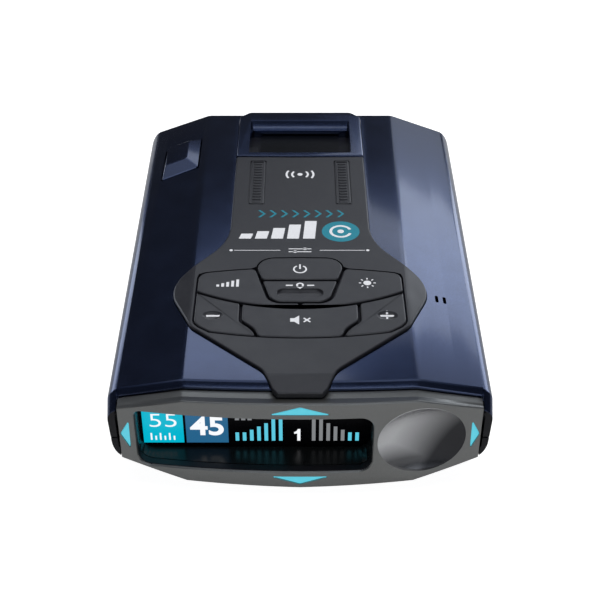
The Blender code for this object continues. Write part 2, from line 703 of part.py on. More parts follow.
def make_boards(board, metal, case, ceramic):
    corners = [(-33, -52), (15.5, -52), (15.5, -27), (33, -27), (33, 40), (-33, 40)]
    main = prism("main_board", rounded(corners, [1.5, 1.5, 1.0, 1.5, 1.5, 1.5], 2), BOARD_Z,
                 BOARD_Z + BOARD_THICK, board)
    cut(main, *[cylinder("hole", c, 1.4, 0, 30, board, 12) for c in BOARD_SCREWS])
    surface = BOARD_Z + BOARD_THICK + GAP
    prism("rf_shield", rectangle(-6, 24, -8, 18, 1.5, 2), surface, surface + 3.0, metal)
    prism("processor", rectangle(-24, -12, -32, -20, 0.4, 1), surface, surface + 1.2, case)
    prism("bluetooth_module", rectangle(17, 30, -24, -12, 0.4, 1), surface, surface + 1.6, metal)
    prism("gps_antenna", rectangle(-9, 9, 20.5, 38.5, 0.8, 2), surface, surface + 4.0, ceramic)
    radio = prism("supply_capacitor", disc((-20, 27), 4.0, 18), surface, surface + 7.0, case)
    return radio


def horn(name, x0, x1, z0, z1, y_mouth, y_back, throat, finish):
    """A flared waveguide horn: a tapering box with a tapering opening, and a solid block behind."""
    xm, zm = (x0 + x1) / 2, (z0 + z1) / 2
    half_x, half_z = throat
    wall = 1.2
    sign = 1 if y_back > y_mouth else -1
    y_throat = y_back - sign * 6.0

    def frame(y, a, b, c, d):
        return [(a, y, c), (b, y, c), (b, y, d), (a, y, d)]

    body = loft(name, [
        frame(y_mouth, x0, x1, z0, z1),
        frame(y_throat, xm - half_x - wall, xm + half_x + wall, zm - half_z - wall, zm + half_z + wall),
        frame(y_back, xm - half_x - wall, xm + half_x + wall, zm - half_z - wall, zm + half_z + wall),
    ], finish)
    flare = loft("flare", [
        frame(y_mouth - sign * 1.0, x0 + wall - 0.3, x1 - wall + 0.3, z0 + wall - 0.2, z1 - wall + 0.2),
        frame(y_throat, xm - half_x, xm + half_x, zm - half_z, zm + half_z),
        frame(y_throat + sign * 2.0, xm - half_x, xm + half_x, zm - half_z, zm + half_z),
    ], finish)
    return cut(body, flare)


def make_sensors(metal, board, infrared, case, rubber):
    horn("front_radar_horn", -20, 20, 3.0, 13.0, 64.8, 42.0, (6, 2.2), metal)
    horn("rear_radar_horn", 18.5, 34.0, 7.0, 21.5, -57.5, -33.0, (4, 3.5), metal)
    lens = prism_y("laser_lens", rectangle(-11.0, 11.0, 17.0, 23.3, 1.1), 66.2, HALF_LENGTH, infrared)
    flange = prism_y("flange", rectangle(-13.5, 13.5, 15.6, 24.1, 1.1), 64.9, 66.2 - 0.05, infrared)
    bridge = prism_y("bridge", rectangle(-10.0, 10.0, 18.0, 22.0, 0.5), 65.5, 67.0, infrared)
    join(lens, flange, bridge)
    sensor = box("laser_sensor", (-9, 58.5, 15.8), (9, 60.1, 23.8), board)
    eyes = [
        loft("eye", [[(x + r * cos(tau * k / 14), y, 20 + r * sin(tau * k / 14)) for k in range(14)]
                     for y, r in ((59.5, 2.6), (61.5, 2.6), (62.6, 1.5))], infrared)
        for x in (-5, 5)
    ]
    join(sensor, *eyes)
    turned("speaker", (0, SPEAKER_Y), [
        (13.0, 2.3), (13.4, 2.9), (13.4, 4.0), (9.0, 6.4), (6.2, 6.6), (6.2, 9.6),
    ], case, 28)
    ring = turned("speaker_gasket", (-0.0, SPEAKER_Y), [(15.6, 2.1), (15.6, 4.0)], rubber, 28)
    cut(ring, cylinder("bore", (0, SPEAKER_Y), 13.8, 0, 10, rubber, 28))
    cylinder("microphone", (35.6, -27.6), 2.2, 23.4, lid_over(35.6, -27.6) - WALL - 0.6, metal, 14)


PORT_PANEL = (-26.7, 19.7)
PORT_PANEL_TOP = 22.6
PANEL_X = (-44.2, -42.8)       # its faces where the flare starts; it follows the wall's flare
JACK_X = -42.9                 # the sockets' mouths, just behind the panel


def make_port_panel(finish):
    """The trim in the left wall that the power, data and earphone sockets show through."""
    low, high = PORT_PANEL
    panel = prism("port_panel", [
        (PANEL_X[0] - flare(low), low), (PANEL_X[1] - flare(low), low),
        (PANEL_X[1] - flare(high), high), (PANEL_X[0] - flare(high), high),
    ], SEAM + GAP, PORT_PANEL_TOP, finish)
    power = box("power", (-50, -24.2, 16.1), (-40, -15.8, 21.7), finish)
    usb = box("usb", (-50, -3.0, 15.9), (-40, 4.4, 18.4), finish)
    return cut(panel, power, usb, lying_cylinder("phone", (14.5, 18.8), 2.6, -50, -40, finish))


def lying_cylinder(name, centre, radius, x0, x1, finish):
    ring = disc(centre, radius, 20)
    return loft(name, [[(x, y, z) for y, z in ring] for x in (x0, x1)], finish)


def make_jacks(case, metal):
    jack = box("power_jack", (JACK_X, -25, 15.5), (-30.0, -15, 22.3), case)
    cut(jack, box("bore", (-50, -24, 16.3), (-31.5, -16, 21.5), case),
        box("latch_way", (-50, -21.5, 21.0), (-37.0, -18.5, 22.0), case))
    usb = box("usb_port", (JACK_X, -3.3, 15.5), (-36.5, 4.7, 18.8), metal)
    cut(usb, box("bore", (-50, -2.8, 16.0), (-38, 4.2, 18.3), metal))
    join(usb, box("tongue", (-42.0, -1.6, 17.0), (-37.5, 3.0, 17.5), metal))
    phone = box("earphone_jack", (JACK_X, 11.0, 15.5), (-31.0, 18.0, 22.1), case)
    cut(phone, lying_cylinder("bore", (14.5, 18.8), 1.8, -50, -33, case))


# ---- windscreen mount dock ----------------------------------------------------------------------
def dock_outline(grow=0.0):
    g = grow
    corners = [
        (-COLUMN - g, COLUMN_REAR + 0.6 - g), (COLUMN + g, COLUMN_REAR + 0.6 - g), (COLUMN + g, 65.5),
        (15.8 + g, HALF_LENGTH + 4 * g), (-15.8 - g, HALF_LENGTH + 4 * g), (-COLUMN - g, 65.5),
    ]
    return corners


LATCH_Y = (45.2, 53.0)
LATCH_Z = (21.6, 23.4)
TOOTH_Y = (48.5, 51.7)
TOOTH_Z = (26.5, 27.7)


def make_mount_dock(finish, steel, metal):
    dock = prism("mount_dock", dock_outline(), DOCK_FLOOR - 1.2, DOCK_TOP, finish)
    x0, x1, y0, y1 = DOCK_SLOT
    slot = prism("slot", rectangle(x0, x1, y0, y1, 0.8, 2), DOCK_FLOOR, TOP + 5, finish)
    # the slot's mouth flares on all four sides, most of all at the rear
    flare = loft("flare", [
        [(x0 - e, y0 - e / 3, z), (x1 + e, y0 - e / 3, z), (x1 + e, y1 + 1.2 * e, z), (x0 - e, y1 + 1.2 * e, z)]
        for e, z in ((0.0, TOP - 1.8), (1.5, DOCK_TOP + 0.4))
    ], finish)
    window = box("window", (-25, TOOTH_Y[0] - GAP, TOOTH_Z[0] - GAP), (-13, TOOTH_Y[1] + GAP, TOOTH_Z[1] + GAP),
                 finish)
    rails = [
        box("rail", (-30.0, y, LATCH_Z[0] - 0.6), (-17.4, y + 1.0, DOCK_FLOOR - 0.5), finish)
        for y in (LATCH_Y[0] - GAP - 1.0, LATCH_Y[1] + GAP)
    ]
    join(dock, *rails)
    cut(dock, slot, flare, window)
    prism("dock_plate", rectangle(-12.0, 12.0, 45.0, 60.4, 1.0, 2), DOCK_FLOOR + GAP, DOCK_FLOOR + 1.1, steel)
    for name, x in (("dock_magnet_left", -7.5), ("dock_magnet_right", 7.5)):
        cylinder(name, (x, 53.8), 4.0, DOCK_FLOOR - 3.4, DOCK_FLOOR - 1.5, metal, 20)


SPRING_AT = (-35.5, 39.3)
SPRING_LOW, SPRING_HIGH = 19.8, 26.5
CAM = -13.0                    # the button's stem and the latch's window slope along x + z = CAM
CAM_WIDTH = 3.0


def release_outline(grow=0.0):
    g = grow
    return [(-40.6 - g, 32.9 - g), (-30.2 + g, 36.4 - g), (-30.2 + g, 53.2 + g), (-40.6 - g, 49.7 + g)]


def make_release(finish, black, metal):
    """The mount's release button, the latch that its slanted stem draws back, and the button's spring."""
    outline = release_outline()
    top = [(-39.9, 38.0), (-33.7, 39.9), (-33.7, 50.4), (-39.9, 48.4)]
    button = loft("release_button", [
        [(x, y, lid_over(x, y) - 1.2) for x, y in outline],
        [(x, y, lid_over(x, y) + 0.25) for x, y in outline],
        [(x, y, lid_over(x, y) + 2.0) for x, y in top],
    ], finish)
    z0, z1 = 20.3, 26.3
    stem = loft("stem", [
        [(CAM - z, 46.6, z), (CAM - z + CAM_WIDTH, 46.6, z), (CAM - z + CAM_WIDTH, 49.6, z), (CAM - z, 49.6, z)]
        for z in (z0, z1)
    ], finish)
    join(button, stem)

    z0, z1 = LATCH_Z
    latch = box("release_latch", (-39.8, LATCH_Y[0], z0), (-19.6, LATCH_Y[1], z1), black)
    join(latch, box("upright", (-21.6, TOOTH_Y[0], z0 + 0.5), (-19.6, TOOTH_Y[1], TOOTH_Z[1]), black),
         box("tooth", (-20.5, TOOTH_Y[0], TOOTH_Z[0]), (-12.8, TOOTH_Y[1], TOOTH_Z[1]), black))
    slack = 0.45
    window = loft("window", [
        [(CAM - z - slack, 46.2, z), (CAM - z + CAM_WIDTH + slack, 46.2, z),
         (CAM - z + CAM_WIDTH + slack, 50.0, z), (CAM - z - slack, 50.0, z)]
        for z in (z0 - 1, z1 + 1)
    ], black)
    cut(latch, window)
    make_spring("release_spring", SPRING_AT, SPRING_LOW, SPRING_HIGH, 1.6, 0.45, 4, metal)


def make_spring(name, centre, z0, z1, radius, wire, turns, finish):
    sides, steps = 6, 12 * turns
    pitch = (z1 - z0 - wire) / turns
    rings = []
    for i in range(steps + 1):
        angle = tau * turns * i / steps
        middle = Vector((centre[0] + radius * cos(angle), centre[1] + radius * sin(angle),
                         z0 + wire / 2 + pitch * turns * i / steps))
        out = Vector((cos(angle), sin(angle), 0))
        up = Vector((0, 0, 1))
        rings.append([
            middle + (out * cos(tau * k / sides) + up * sin(tau * k / sides)) * wire / 2 for k in range(sides)
        ])
    loft(name, rings, finish)


# ---- fasteners ----------------------------------------------------------------------------------
def make_screw(name, centre, head_z, head_r, head_h, shank_r, length, point_up, finish):
    """A pan-head screw. point_up is 1 where the screw is driven from below."""
    s = point_up
    profile = [
        (head_r * 0.8, head_z), (head_r, head_z + s * head_h * 0.3), (head_r, head_z + s * head_h),
        (shank_r, head_z + s * (head_h + 0.01)), (shank_r, head_z + s * (length - 1)),
        (shank_r * 0.35, head_z + s * length),
    ]
    screw = turned(name, centre, profile, finish, 12)
    cx, cy = centre
    depth = head_h * 0.55
    arms = []
    for wide, tall in ((head_r * 0.55, 0.28), (0.28, head_r * 0.55)):
        z = sorted((head_z - s * 1.0, head_z + s * depth))
        arms.append(box("arm", (cx - wide, cy - tall, z[0]), (cx + wide, cy + tall, z[1]), finish))
    return cut(screw, *arms)


def make_fasteners(finish):
    for i, c in enumerate(CASE_SCREWS, 1):
        make_screw(f"case_screw_{i}", c, belly(c[0]) + 2.3, 2.2, 1.7, 1.15, 14.0 - belly(c[0]) + 6, 1, finish)
    for i, c in enumerate(BOARD_SCREWS, 1):
        top = BOARD_Z + BOARD_THICK + GAP + 1.3
        make_screw(f"board_screw_{i}", c, top, 1.9, 1.3, 0.7, 7.0, -1, finish)


def main():
    for old in list(bpy.data.objects):
        bpy.data.objects.remove(old)
    m = make_materials()
    make_upper_shell(m["shell"])
    make_lower_shell(m["case"])
    make_front_bezel(m["bezel"])
    make_arrow_lights(m["light"])
    make_keypad_console(m["console"])
    make_rib_strips(m["case"])
    make_keys(m["key"])
    make_key_board(m["board"], m["rubber"])
    make_display(m["gloss"], m["screen"], m["board"], m["film"])
    make_boards(m["board"], m["metal"], m["case"], m["ceramic"])
    make_sensors(m["metal"], m["board"], m["infrared"], m["case"], m["rubber"])
    make_port_panel(m["case"])
    make_jacks(m["case"], m["metal"])
    make_mount_dock(m["shell"], m["steel"], m["metal"])
    make_release(m["shell"], m["case"], m["metal"])
    make_fasteners(m["metal"])


main()
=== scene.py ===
"""Looks for the windscreen radar detector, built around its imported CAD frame.

Frame: +X to the driver's right, +Y towards the road, +Z up, origin at the middle of the underside.
Lengths are millimetres until solid() turns a mesh into metres.
"""
from math import atan2, cos, hypot, pi, radians, sin, sqrt, tan, tau

import bmesh
import bpy
from mathutils import Matrix, Vector


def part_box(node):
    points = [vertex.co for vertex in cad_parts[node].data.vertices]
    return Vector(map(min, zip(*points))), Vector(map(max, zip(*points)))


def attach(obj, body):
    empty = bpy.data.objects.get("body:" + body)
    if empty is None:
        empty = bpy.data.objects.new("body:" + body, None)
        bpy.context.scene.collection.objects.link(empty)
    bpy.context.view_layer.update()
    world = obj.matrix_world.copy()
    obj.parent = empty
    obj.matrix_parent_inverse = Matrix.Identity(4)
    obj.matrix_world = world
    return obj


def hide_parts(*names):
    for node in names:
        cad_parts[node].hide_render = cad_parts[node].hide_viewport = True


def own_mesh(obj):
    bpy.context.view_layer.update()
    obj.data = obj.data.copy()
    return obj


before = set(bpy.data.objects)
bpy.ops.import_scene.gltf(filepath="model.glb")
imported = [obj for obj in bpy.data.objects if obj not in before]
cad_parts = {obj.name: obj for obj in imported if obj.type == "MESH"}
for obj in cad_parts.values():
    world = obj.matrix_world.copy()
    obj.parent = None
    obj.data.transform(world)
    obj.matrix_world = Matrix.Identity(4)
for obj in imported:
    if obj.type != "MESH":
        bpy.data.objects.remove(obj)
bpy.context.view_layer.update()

MM = 0.001
SHARP = 32                     # edges that turn by more degrees than this are shaded sharp


def edge_of(node, side, axis):
    """One coordinate of a CAD node's box, in millimetres. side is 0 for low and 1 for high."""
    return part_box(node)[side][axis] / MM


def box_mm(node):
    """A CAD node's box in millimetres: x0, x1, y0, y1, z0, z1."""
    low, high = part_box(node)
    return [value / MM for pair in zip(low, high) for value in pair]


# ---- driving dimensions, from the frame ----
X, Y, Z = range(3)
HALF_LENGTH = edge_of("upper_shell", 1, Y)
TOP = edge_of("upper_shell", 1, Z)
SEAM = edge_of("upper_shell", 0, Z)
CHEEK_Y = edge_of("upper_shell", 0, Y)
KEY_TOP = edge_of("power_key", 1, Z)
CONSOLE_TOP = edge_of("keypad_console", 1, Z)
DOCK_TOP = edge_of("mount_dock", 1, Z)
COLUMN = edge_of("mount_dock", 1, X)
DOCK_FLOOR = edge_of("dock_plate", 0, Z) - 0.3
BEZEL_FRONT = edge_of("front_bezel", 0, Y)
BEZEL_SIDE = edge_of("front_bezel", 1, X)
SCREEN_Y = edge_of("display_panel", 0, Y)

GAP = 0.3
WALL = 1.8
PROUD = CONSOLE_TOP - TOP
HALF_WIDTH = 45.0              # at the front; the sides flare from there
FLARE = 0.0115                 # how far each side moves out per millimetre towards the road
FLARE_FROM = -62.0
LEAN = 0.054                   # how far each side wall leans in per millimetre below LEAN_FROM
LEAN_FROM = 24.0
CREASE = 27.0                  # where the lid's flat middle turns into its side facets
FACET_SLOPE = 0.23
SHOULDER = 42.3                # where a side facet rounds over into the side wall
SHOULDER_DROP = 2.6
REAR_CORNER_X = 27.5
REAR_CORNER_SLOPE = 0.28
BELLY_FLAT = 24.0
BELLY_SLOPE = 0.42
BELLY_DROP = 3.2
BELLY_FRONT = -56.0            # where the belly starts to rise towards the bezel
LIP_Y = -63.0
LIP_CURVE = 960.0
FACE_CURVE = 480.0
CHEEK = 42.63
COLUMN_REAR = 40.4
TONGUE_Y = -65.5
KEY_GAP = 0.55
KEY_SIDE = 26.0
WINDOW = (-38.2, 16.8, 7.8, 24.3)                # the display's, in x and z
DISH_X, DISH_Z, DISH_R, DISH_DEPTH = 28.4, 16.4, 10.2, 2.5
DISH_STRETCH = (1.07, 0.97)                      # the dish is a little wider than it is tall
DOCK_SLOT = (-14.9, 14.9, 43.2, 61.5)            # in x and y, 0.8 wider on each side than in CAD
LENS_WINDOW = (-11.3, 11.3, 16.7, 23.6)          # in x and z
MICROPHONE_SLOTS = (34.6, 36.6)
SPEAKER_SLOTS = [(-7.2, 6), (-3.6, 8.5), (0, 9.2), (3.6, 8.5), (7.2, 6)]    # x and half length
LABEL_RECESS = (-20, 20, 12, 44)
CUP_X, CUP_Y, CUP_ACROSS, CUP_ALONG, CUP_DEPTH = 21.4, -37.9, 2.6, 1.8, 0.85
HOOD = 0.7                                       # how far the hood's frame reaches past the window
BEZEL_BOTTOM = [(0, 2.15), (CREASE, 3.05), (42.3, 8.5)]
RIDGE = [(0, 28.95), (CREASE, 28.55), (42.3, 24.5)]        # top edge of the bezel's face
LEDGE_DROP = [(0, 1.95), (CREASE, 1.9), (36, 1.75), (42.3, 1.75)]
CHANNEL_DROP = [(0, 2.25), (CREASE, 2.15), (36, 1.9), (42.3, 1.9)]


# ---- outer surfaces, as functions of x ----
def bend(distance, slope, reach):
    """A slope that starts at distance 0, with the corner softened over reach on both sides."""
    if distance <= -reach:
        return 0.0
    if distance >= reach:
        return slope * distance
    return slope * (distance + reach) ** 2 / (4 * reach)


def rounding(x, drop):
    """The drop of the rounded shoulder, from SHOULDER out to HALF_WIDTH."""
    part = max(0.0, min(1.0, (abs(x) - SHOULDER) / (HALF_WIDTH - SHOULDER)))
    return drop * (1 - sqrt(1 - part * part))


def lid(x):
    return TOP - bend(abs(x) - CREASE, FACET_SLOPE, 0.5) - rounding(x, SHOULDER_DROP)


def belly(x):
    return bend(abs(x) - BELLY_FLAT, BELLY_SLOPE, 1.2) + rounding(x, BELLY_DROP)


def lip(x):
    return CHEEK_Y if abs(x) > CHEEK else LIP_Y + x * x / LIP_CURVE


def lip_bevel(x):
    return (3.8, 3.0) if abs(x) > CHEEK else (1.25, 1.2)


def face(x):
    return BEZEL_FRONT + x * x / FACE_CURVE


def rear(x):
    return HALF_LENGTH - bend(abs(x) - REAR_CORNER_X, REAR_CORNER_SLOPE, 0.8) - rounding(x, 3.5)


def front_rise(x):
    return 2.0 - 1.2 * (x / HALF_WIDTH) ** 2


def flare(y):
    return FLARE * max(0.0, y - FLARE_FROM)


def cased(x, y, z):
    """A point of the casing: its column x, moved out by the flare and in by the side wall's lean."""
    out = flare(y) * min(1.0, abs(x) / CREASE)
    lean = LEAN * max(0.0, LEAN_FROM - z) * max(0.0, abs(x) - CHEEK) / (HALF_WIDTH - CHEEK)
    return (x + (out - lean if x > 0 else lean - out), y, z)


def lid_over(x, y):
    """The lid's height over a real place, where lid() takes the column that the flare moves there."""
    return lid(max(0.0, abs(x) - flare(y)))


def between(x, table):
    """Straight-line interpolation of |x| in a table of (x, value)."""
    x = abs(x)
    for (x0, v0), (x1, v1) in zip(table, table[1:]):
        if x <= x1:
            return v0 + (v1 - v0) * (x - x0) / (x1 - x0)
    return table[-1][1]


def tongue_drop(y):
    """How far the console's tongue bends down past the lid's front bevel."""
    return bend(-60.2 - y, 0.19, 0.6)


def columns(stops, pitch):
    """Values from 0 to the last stop that include every stop, no more than pitch apart."""
    values = [0.0]
    for stop in stops:
        start = values[-1]
        count = max(1, round((stop - start) / pitch))
        values += [start + (stop - start) * i / count for i in range(1, count + 1)]
    return values


def mirrored(values):
    return sorted({-v for v in values} | set(values))


def shell_columns():
    creases = [c + d for c in (BELLY_FLAT, CREASE) for d in (-1.2, -0.6, 0, 0.6, 1.2)]
    straight = columns(sorted(creases) + [SHOULDER], 3.0)
    curve = [SHOULDER + (HALF_WIDTH - SHOULDER) * sin(radians(a)) for a in range(20, 91, 7)]
    return mirrored(straight + [CHEEK - 0.03, CHEEK + 0.03] + curve)


# ---- modelling helpers ----
def is_flat(face):
    middle = face.calc_center_median()
    return all(abs((v.co - middle).dot(face.normal)) < 1e-5 for v in face.verts)


def link(made):
    bpy.context.scene.collection.objects.link(made)
    return made


def as_object(name, mesh, finish, sharp=SHARP):
    """A bmesh, in metres, as an object with its finish and with soft shading up to the angle sharp."""
    data = bpy.data.meshes.new(name)
    mesh.to_mesh(data)
    mesh.free()
    if finish:
        data.materials.append(finish)
    data.shade_smooth()
    data.set_sharp_from_angle(angle=radians(sharp))
    return link(bpy.data.objects.new(name, data))


def solid(name, mesh, finish, sharp=SHARP):
    """A closed bmesh, in millimetres, as an object in metres with outward faces."""
    bmesh.ops.remove_doubles(mesh, verts=mesh.verts, dist=1e-4)
    bmesh.ops.recalc_face_normals(mesh, faces=mesh.faces)
    # a face that isn't flat becomes triangles, so that every Boolean reads it in the same way
    bmesh.ops.triangulate(mesh, faces=[f for f in mesh.faces if not is_flat(f)])
    bmesh.ops.scale(mesh, vec=(MM, MM, MM), verts=mesh.verts)
    return as_object(name, mesh, finish, sharp)


def wall(mesh, rings):
    """Faces between neighbouring rings of points. Returns the rings as vertices, for the caps."""
    rows = [[mesh.verts.new(p) for p in ring] for ring in rings]
    for row, after in zip(rows, rows[1:]):
        for i in range(len(row)):
            j = (i + 1) % len(row)
            mesh.faces.new((row[i], row[j], after[j], after[i]))
    return rows


def loft(name, rings, finish=None):
    """A closed solid through rings with the same number of points, capped at both ends."""
    mesh = bmesh.new()
    rows = wall(mesh, rings)
    mesh.faces.new(rows[0])
    mesh.faces.new(reversed(rows[-1]))
    return solid(name, mesh, finish)


def corner_at(outline, i):
    """Corner i of a closed outline, and the ways from it to the corners before and after it."""
    corner = Vector(outline[i])
    return corner, Vector(outline[i - 1]) - corner, Vector(outline[(i + 1) % len(outline)]) - corner


def eased(corner, before, after, reach, limit, steps):
    """A curve past a corner, from reach before it to reach after it, within that share of each side."""
    start = corner + before.normalized() * min(reach, before.length * limit)
    end = corner + after.normalized() * min(reach, after.length * limit)
    curve = []
    for k in range(steps + 1):
        t = k / steps
        curve.append(tuple(start * (1 - t) ** 2 + corner * (2 * t * (1 - t)) + end * t * t))
    return curve


def soften(corners, reaches, steps=3):
    """A closed outline through corners, each rounded with a curve that starts reach away from it."""
    points = []
    for i, reach in enumerate(reaches):
        points += eased(*corner_at(corners, i), reach, 0.49, steps)
    return points


def soften_sharp(outline, reach, steps):
    """Rounds only an outline's sharp corners, and leaves its smooth stretches alone."""
    points = []
    for i, here in enumerate(outline):
        corner, before, after = corner_at(outline, i)
        if before.angle(-after) < radians(17):
            points.append(tuple(here))
        else:
            points += eased(corner, before, after, reach, 0.45, steps)
    return points


def rounded(corners, radii, steps):
    """A closed outline through corners, each rounded with an arc of its own radius."""
    points = []
    for i, radius in enumerate(radii):
        corner, before, after = corner_at(corners, i)
        if radius == 0:
            points.append(tuple(corner))
            continue
        into, out = before.normalized(), after.normalized()
        half = into.angle(out) / 2
        reach = radius * cos(half) / sin(half)
        middle = corner + (into + out).normalized() * (radius / sin(half))
        start, end = corner + into * reach - middle, corner + out * reach - middle
        turn = start.angle_signed(end)
        for k in range(steps + 1):
            angle = -turn * k / steps
            points.append((
                middle.x + start.x * cos(angle) - start.y * sin(angle),
                middle.y + start.x * sin(angle) + start.y * cos(angle),
            ))
    return points


def rectangle(x0, x1, y0, y1, radius=0.0, steps=6):
    return rounded([(x0, y0), (x1, y0), (x1, y1), (x0, y1)], [radius] * 4, steps)


def disc(centre, radius, sides=48):
    cx, cy = centre
    return [(cx + radius * cos(tau * i / sides), cy + radius * sin(tau * i / sides)) for i in range(sides)]


def both_sides(half):
    return half + [(-x, y) for x, y in reversed(half) if abs(x) > 1e-6]


def mirror_outline(outline):
    return [(-x, y) for x, y in outline]


def signed_area(outline):
    pairs = zip(outline, outline[1:] + outline[:1])
    return sum(a[0] * b[1] - b[0] * a[1] for a, b in pairs) / 2


def inset(outline, distance):
    """The outline moved inwards by distance, corner by corner."""
    turn = 1 if signed_area(outline) > 0 else -1
    moved = []
    for i, here in enumerate(outline):
        corner = Vector(here)
        into = (corner - Vector(outline[i - 1])).normalized()
        out = (Vector(outline[(i + 1) % len(outline)]) - corner).normalized()
        normal = Vector((-(into.y + out.y), into.x + out.x)) * turn
        normal.normalize()
        edge = Vector((-into.y, into.x)) * turn
        moved.append(tuple(corner + normal * (distance / max(0.5, normal.dot(edge)))))
    return moved


def plate(name, outline, z0, z1, fillet, finish=None, height=None, creases=(), steps=4, sharp=SHARP):
    """An outline extruded from z0 to z1 with a rounded top edge.

    height, where given, adds a height to each point from its x and y. creases are the (point, normal)
    planes along which the flat faces are divided first, so that they can follow that height.
    """
    levels = [(0, z0), (0, z1 - fillet)]
    for k in range(1, steps + 1):
        angle = pi / 2 * k / steps
        levels.append((fillet * (1 - cos(angle)), z1 - fillet + fillet * sin(angle)))
    mesh = bmesh.new()
    rows = wall(mesh, [[(x, y, z) for x, y in inset(outline, depth)] for depth, z in levels])
    mesh.faces.new(reversed(rows[0]))
    mesh.faces.new(rows[-1])
    for point, normal in creases:
        everything = mesh.verts[:] + mesh.edges[:] + mesh.faces[:]
        bmesh.ops.bisect_plane(mesh, geom=everything, plane_co=point, plane_no=normal, dist=1e-5)
    if height:
        for v in mesh.verts:
            v.co.z += height(v.co.x, v.co.y)
    return solid(name, mesh, finish, sharp)


def prism(name, outline, z0, z1):
    return loft(name, [[(x, y, z) for x, y in outline] for z in (z0, z1)])


def prism_y(name, outline, y0, y1):
    return loft(name, [[(x, y, z) for x, z in outline] for y in (y0, y1)])


def box(name, low, high):
    return prism(name, rectangle(low[0], high[0], low[1], high[1]), low[2], high[2])


def combine(target, others, operation, sharp=SHARP):
    for other in others:
        step = target.modifiers.new(operation, "BOOLEAN")
        step.operation = operation
        step.solver = "EXACT"
        step.object = other
        graph = bpy.context.evaluated_depsgraph_get()
        data = bpy.data.meshes.new_from_object(target.evaluated_get(graph))
        target.modifiers.clear()
        target.data = data
        bpy.data.objects.remove(other)
    target.data.shade_smooth()
    target.data.set_sharp_from_angle(angle=radians(sharp))
    return target


def cut(target, *others, sharp=SHARP):
    return combine(target, others, "DIFFERENCE", sharp)


def join(target, *others):
    return combine(target, others, "UNION")


def merge(name, parts, finish):
    """Several separate solids as one object, without a Boolean."""
    mesh = bmesh.new()
    for part in parts:
        mesh.from_mesh(part.data)
        bpy.data.objects.remove(part)
    return as_object(name, mesh, finish)


def paint_faces(obj, finish, chosen):
    """Another finish for the faces that chosen picks, from their middle in millimetres and their normal."""
    obj.data.materials.append(finish)
    for part in obj.data.polygons:
        if chosen(part.center / MM, part.normal):
            part.material_index = len(obj.data.materials) - 1


def fit(obj, body, slot, *replaced):
    """A made piece joins the frame: what it rides on, and the CAD nodes that it stands for. Its slot is not
    used.
    """
    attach(obj, body)
    if replaced:
        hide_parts(*replaced)


# ---- materials ----
def colour_mix(tree, factor, low, high):
    """The output of a node that mixes two colours by a factor."""
    mixed = tree.nodes.new("ShaderNodeMix")
    mixed.data_type = "RGBA"
    # this node has inputs for several kinds of data, and 0, 6 and 7 are its factor and two colours
    mixed.inputs[6].default_value = (*low, 1)
    mixed.inputs[7].default_value = (*high, 1)
    tree.links.new(factor, mixed.inputs[0])
    return mixed.outputs[2]


class Surface:
    """A Principled material with noise in its colour (tint), its roughness (wear) or its relief (grain).

    Each of the three starts with what noise() takes. Then come the two values that a tint or a wear
    lies between, or the depth in millimetres and the strength of a grain.
    """

    def __init__(
        self, name, colour, roughness, metallic=0.0, tint=None, wear=None, grain=None, **sockets
    ):
        self.material = bpy.data.materials.new(name)
        self.material.use_nodes = True
        self.tree = self.material.node_tree
        self.shader = self.tree.nodes["Principled BSDF"]
        self.set("Base Color", (*colour, 1))
        self.set("Roughness", roughness)
        self.set("Metallic", metallic)
        for socket, value in sockets.items():
            self.set(socket.replace("_", " "), value)
        self.place = self.node("ShaderNodeTexCoord").outputs["Object"]
        if tint:
            noise, low, high = tint
            self.blend(self.spread(noise, 0, 1), low, high)
        if wear:
            noise, low, high = wear
            self.feed("Roughness", self.spread(noise, low, high))
        if grain:
            noise, depth, strength = grain
            height = self.noise(*noise)
            bump = self.node("ShaderNodeBump", Height=height, Strength=strength, Distance=depth * MM)
            self.feed("Normal", bump.outputs["Normal"])

    def set(self, socket, value):
        self.shader.inputs[socket].default_value = value

    def feed(self, socket, output):
        self.tree.links.new(output, self.shader.inputs[socket])

    def node(self, kind, **inputs):
        made = self.tree.nodes.new(kind)
        for socket, value in inputs.items():
            name = socket.replace("_", " ")
            if isinstance(value, bpy.types.NodeSocket):
                self.tree.links.new(value, made.inputs[name])
            else:
                made.inputs[name].default_value = value
        return made

    def noise(self, per_mm, detail=2.0, stretch=None):
        """Noise with that many features per millimetre."""
        vector = self.place
        if stretch:
            vector = self.node("ShaderNodeMapping", Vector=self.place, Scale=stretch).outputs["Vector"]
        return self.node(
            "ShaderNodeTexNoise", Vector=vector, Scale=per_mm / MM, Detail=detail, Roughness=0.55
        ).outputs["Fac"]

    def ramp(self, value, start, end, low=0.0, high=1.0):
        """value, from start to end, remapped to low to high."""
        return self.node(
            "ShaderNodeMapRange", Value=value, From_Min=start, From_Max=end, To_Min=low, To_Max=high
        ).outputs["Result"]

    def spread(self, noise, low, high):
        """Noise, which mostly lies between 0.3 and 0.7, remapped to low to high."""
        return self.ramp(self.noise(*noise), 0.3, 0.7, low, high)

    def blend(self, factor, low, high):
        """Makes the colour a blend, from low where the factor is 0 to high where it is 1."""
        self.feed("Base Color", colour_mix(self.tree, factor, low, high))

    def glow(self, colour, strength):
        self.set("Emission Color", (*colour, 1))
        self.set("Emission Strength", strength)


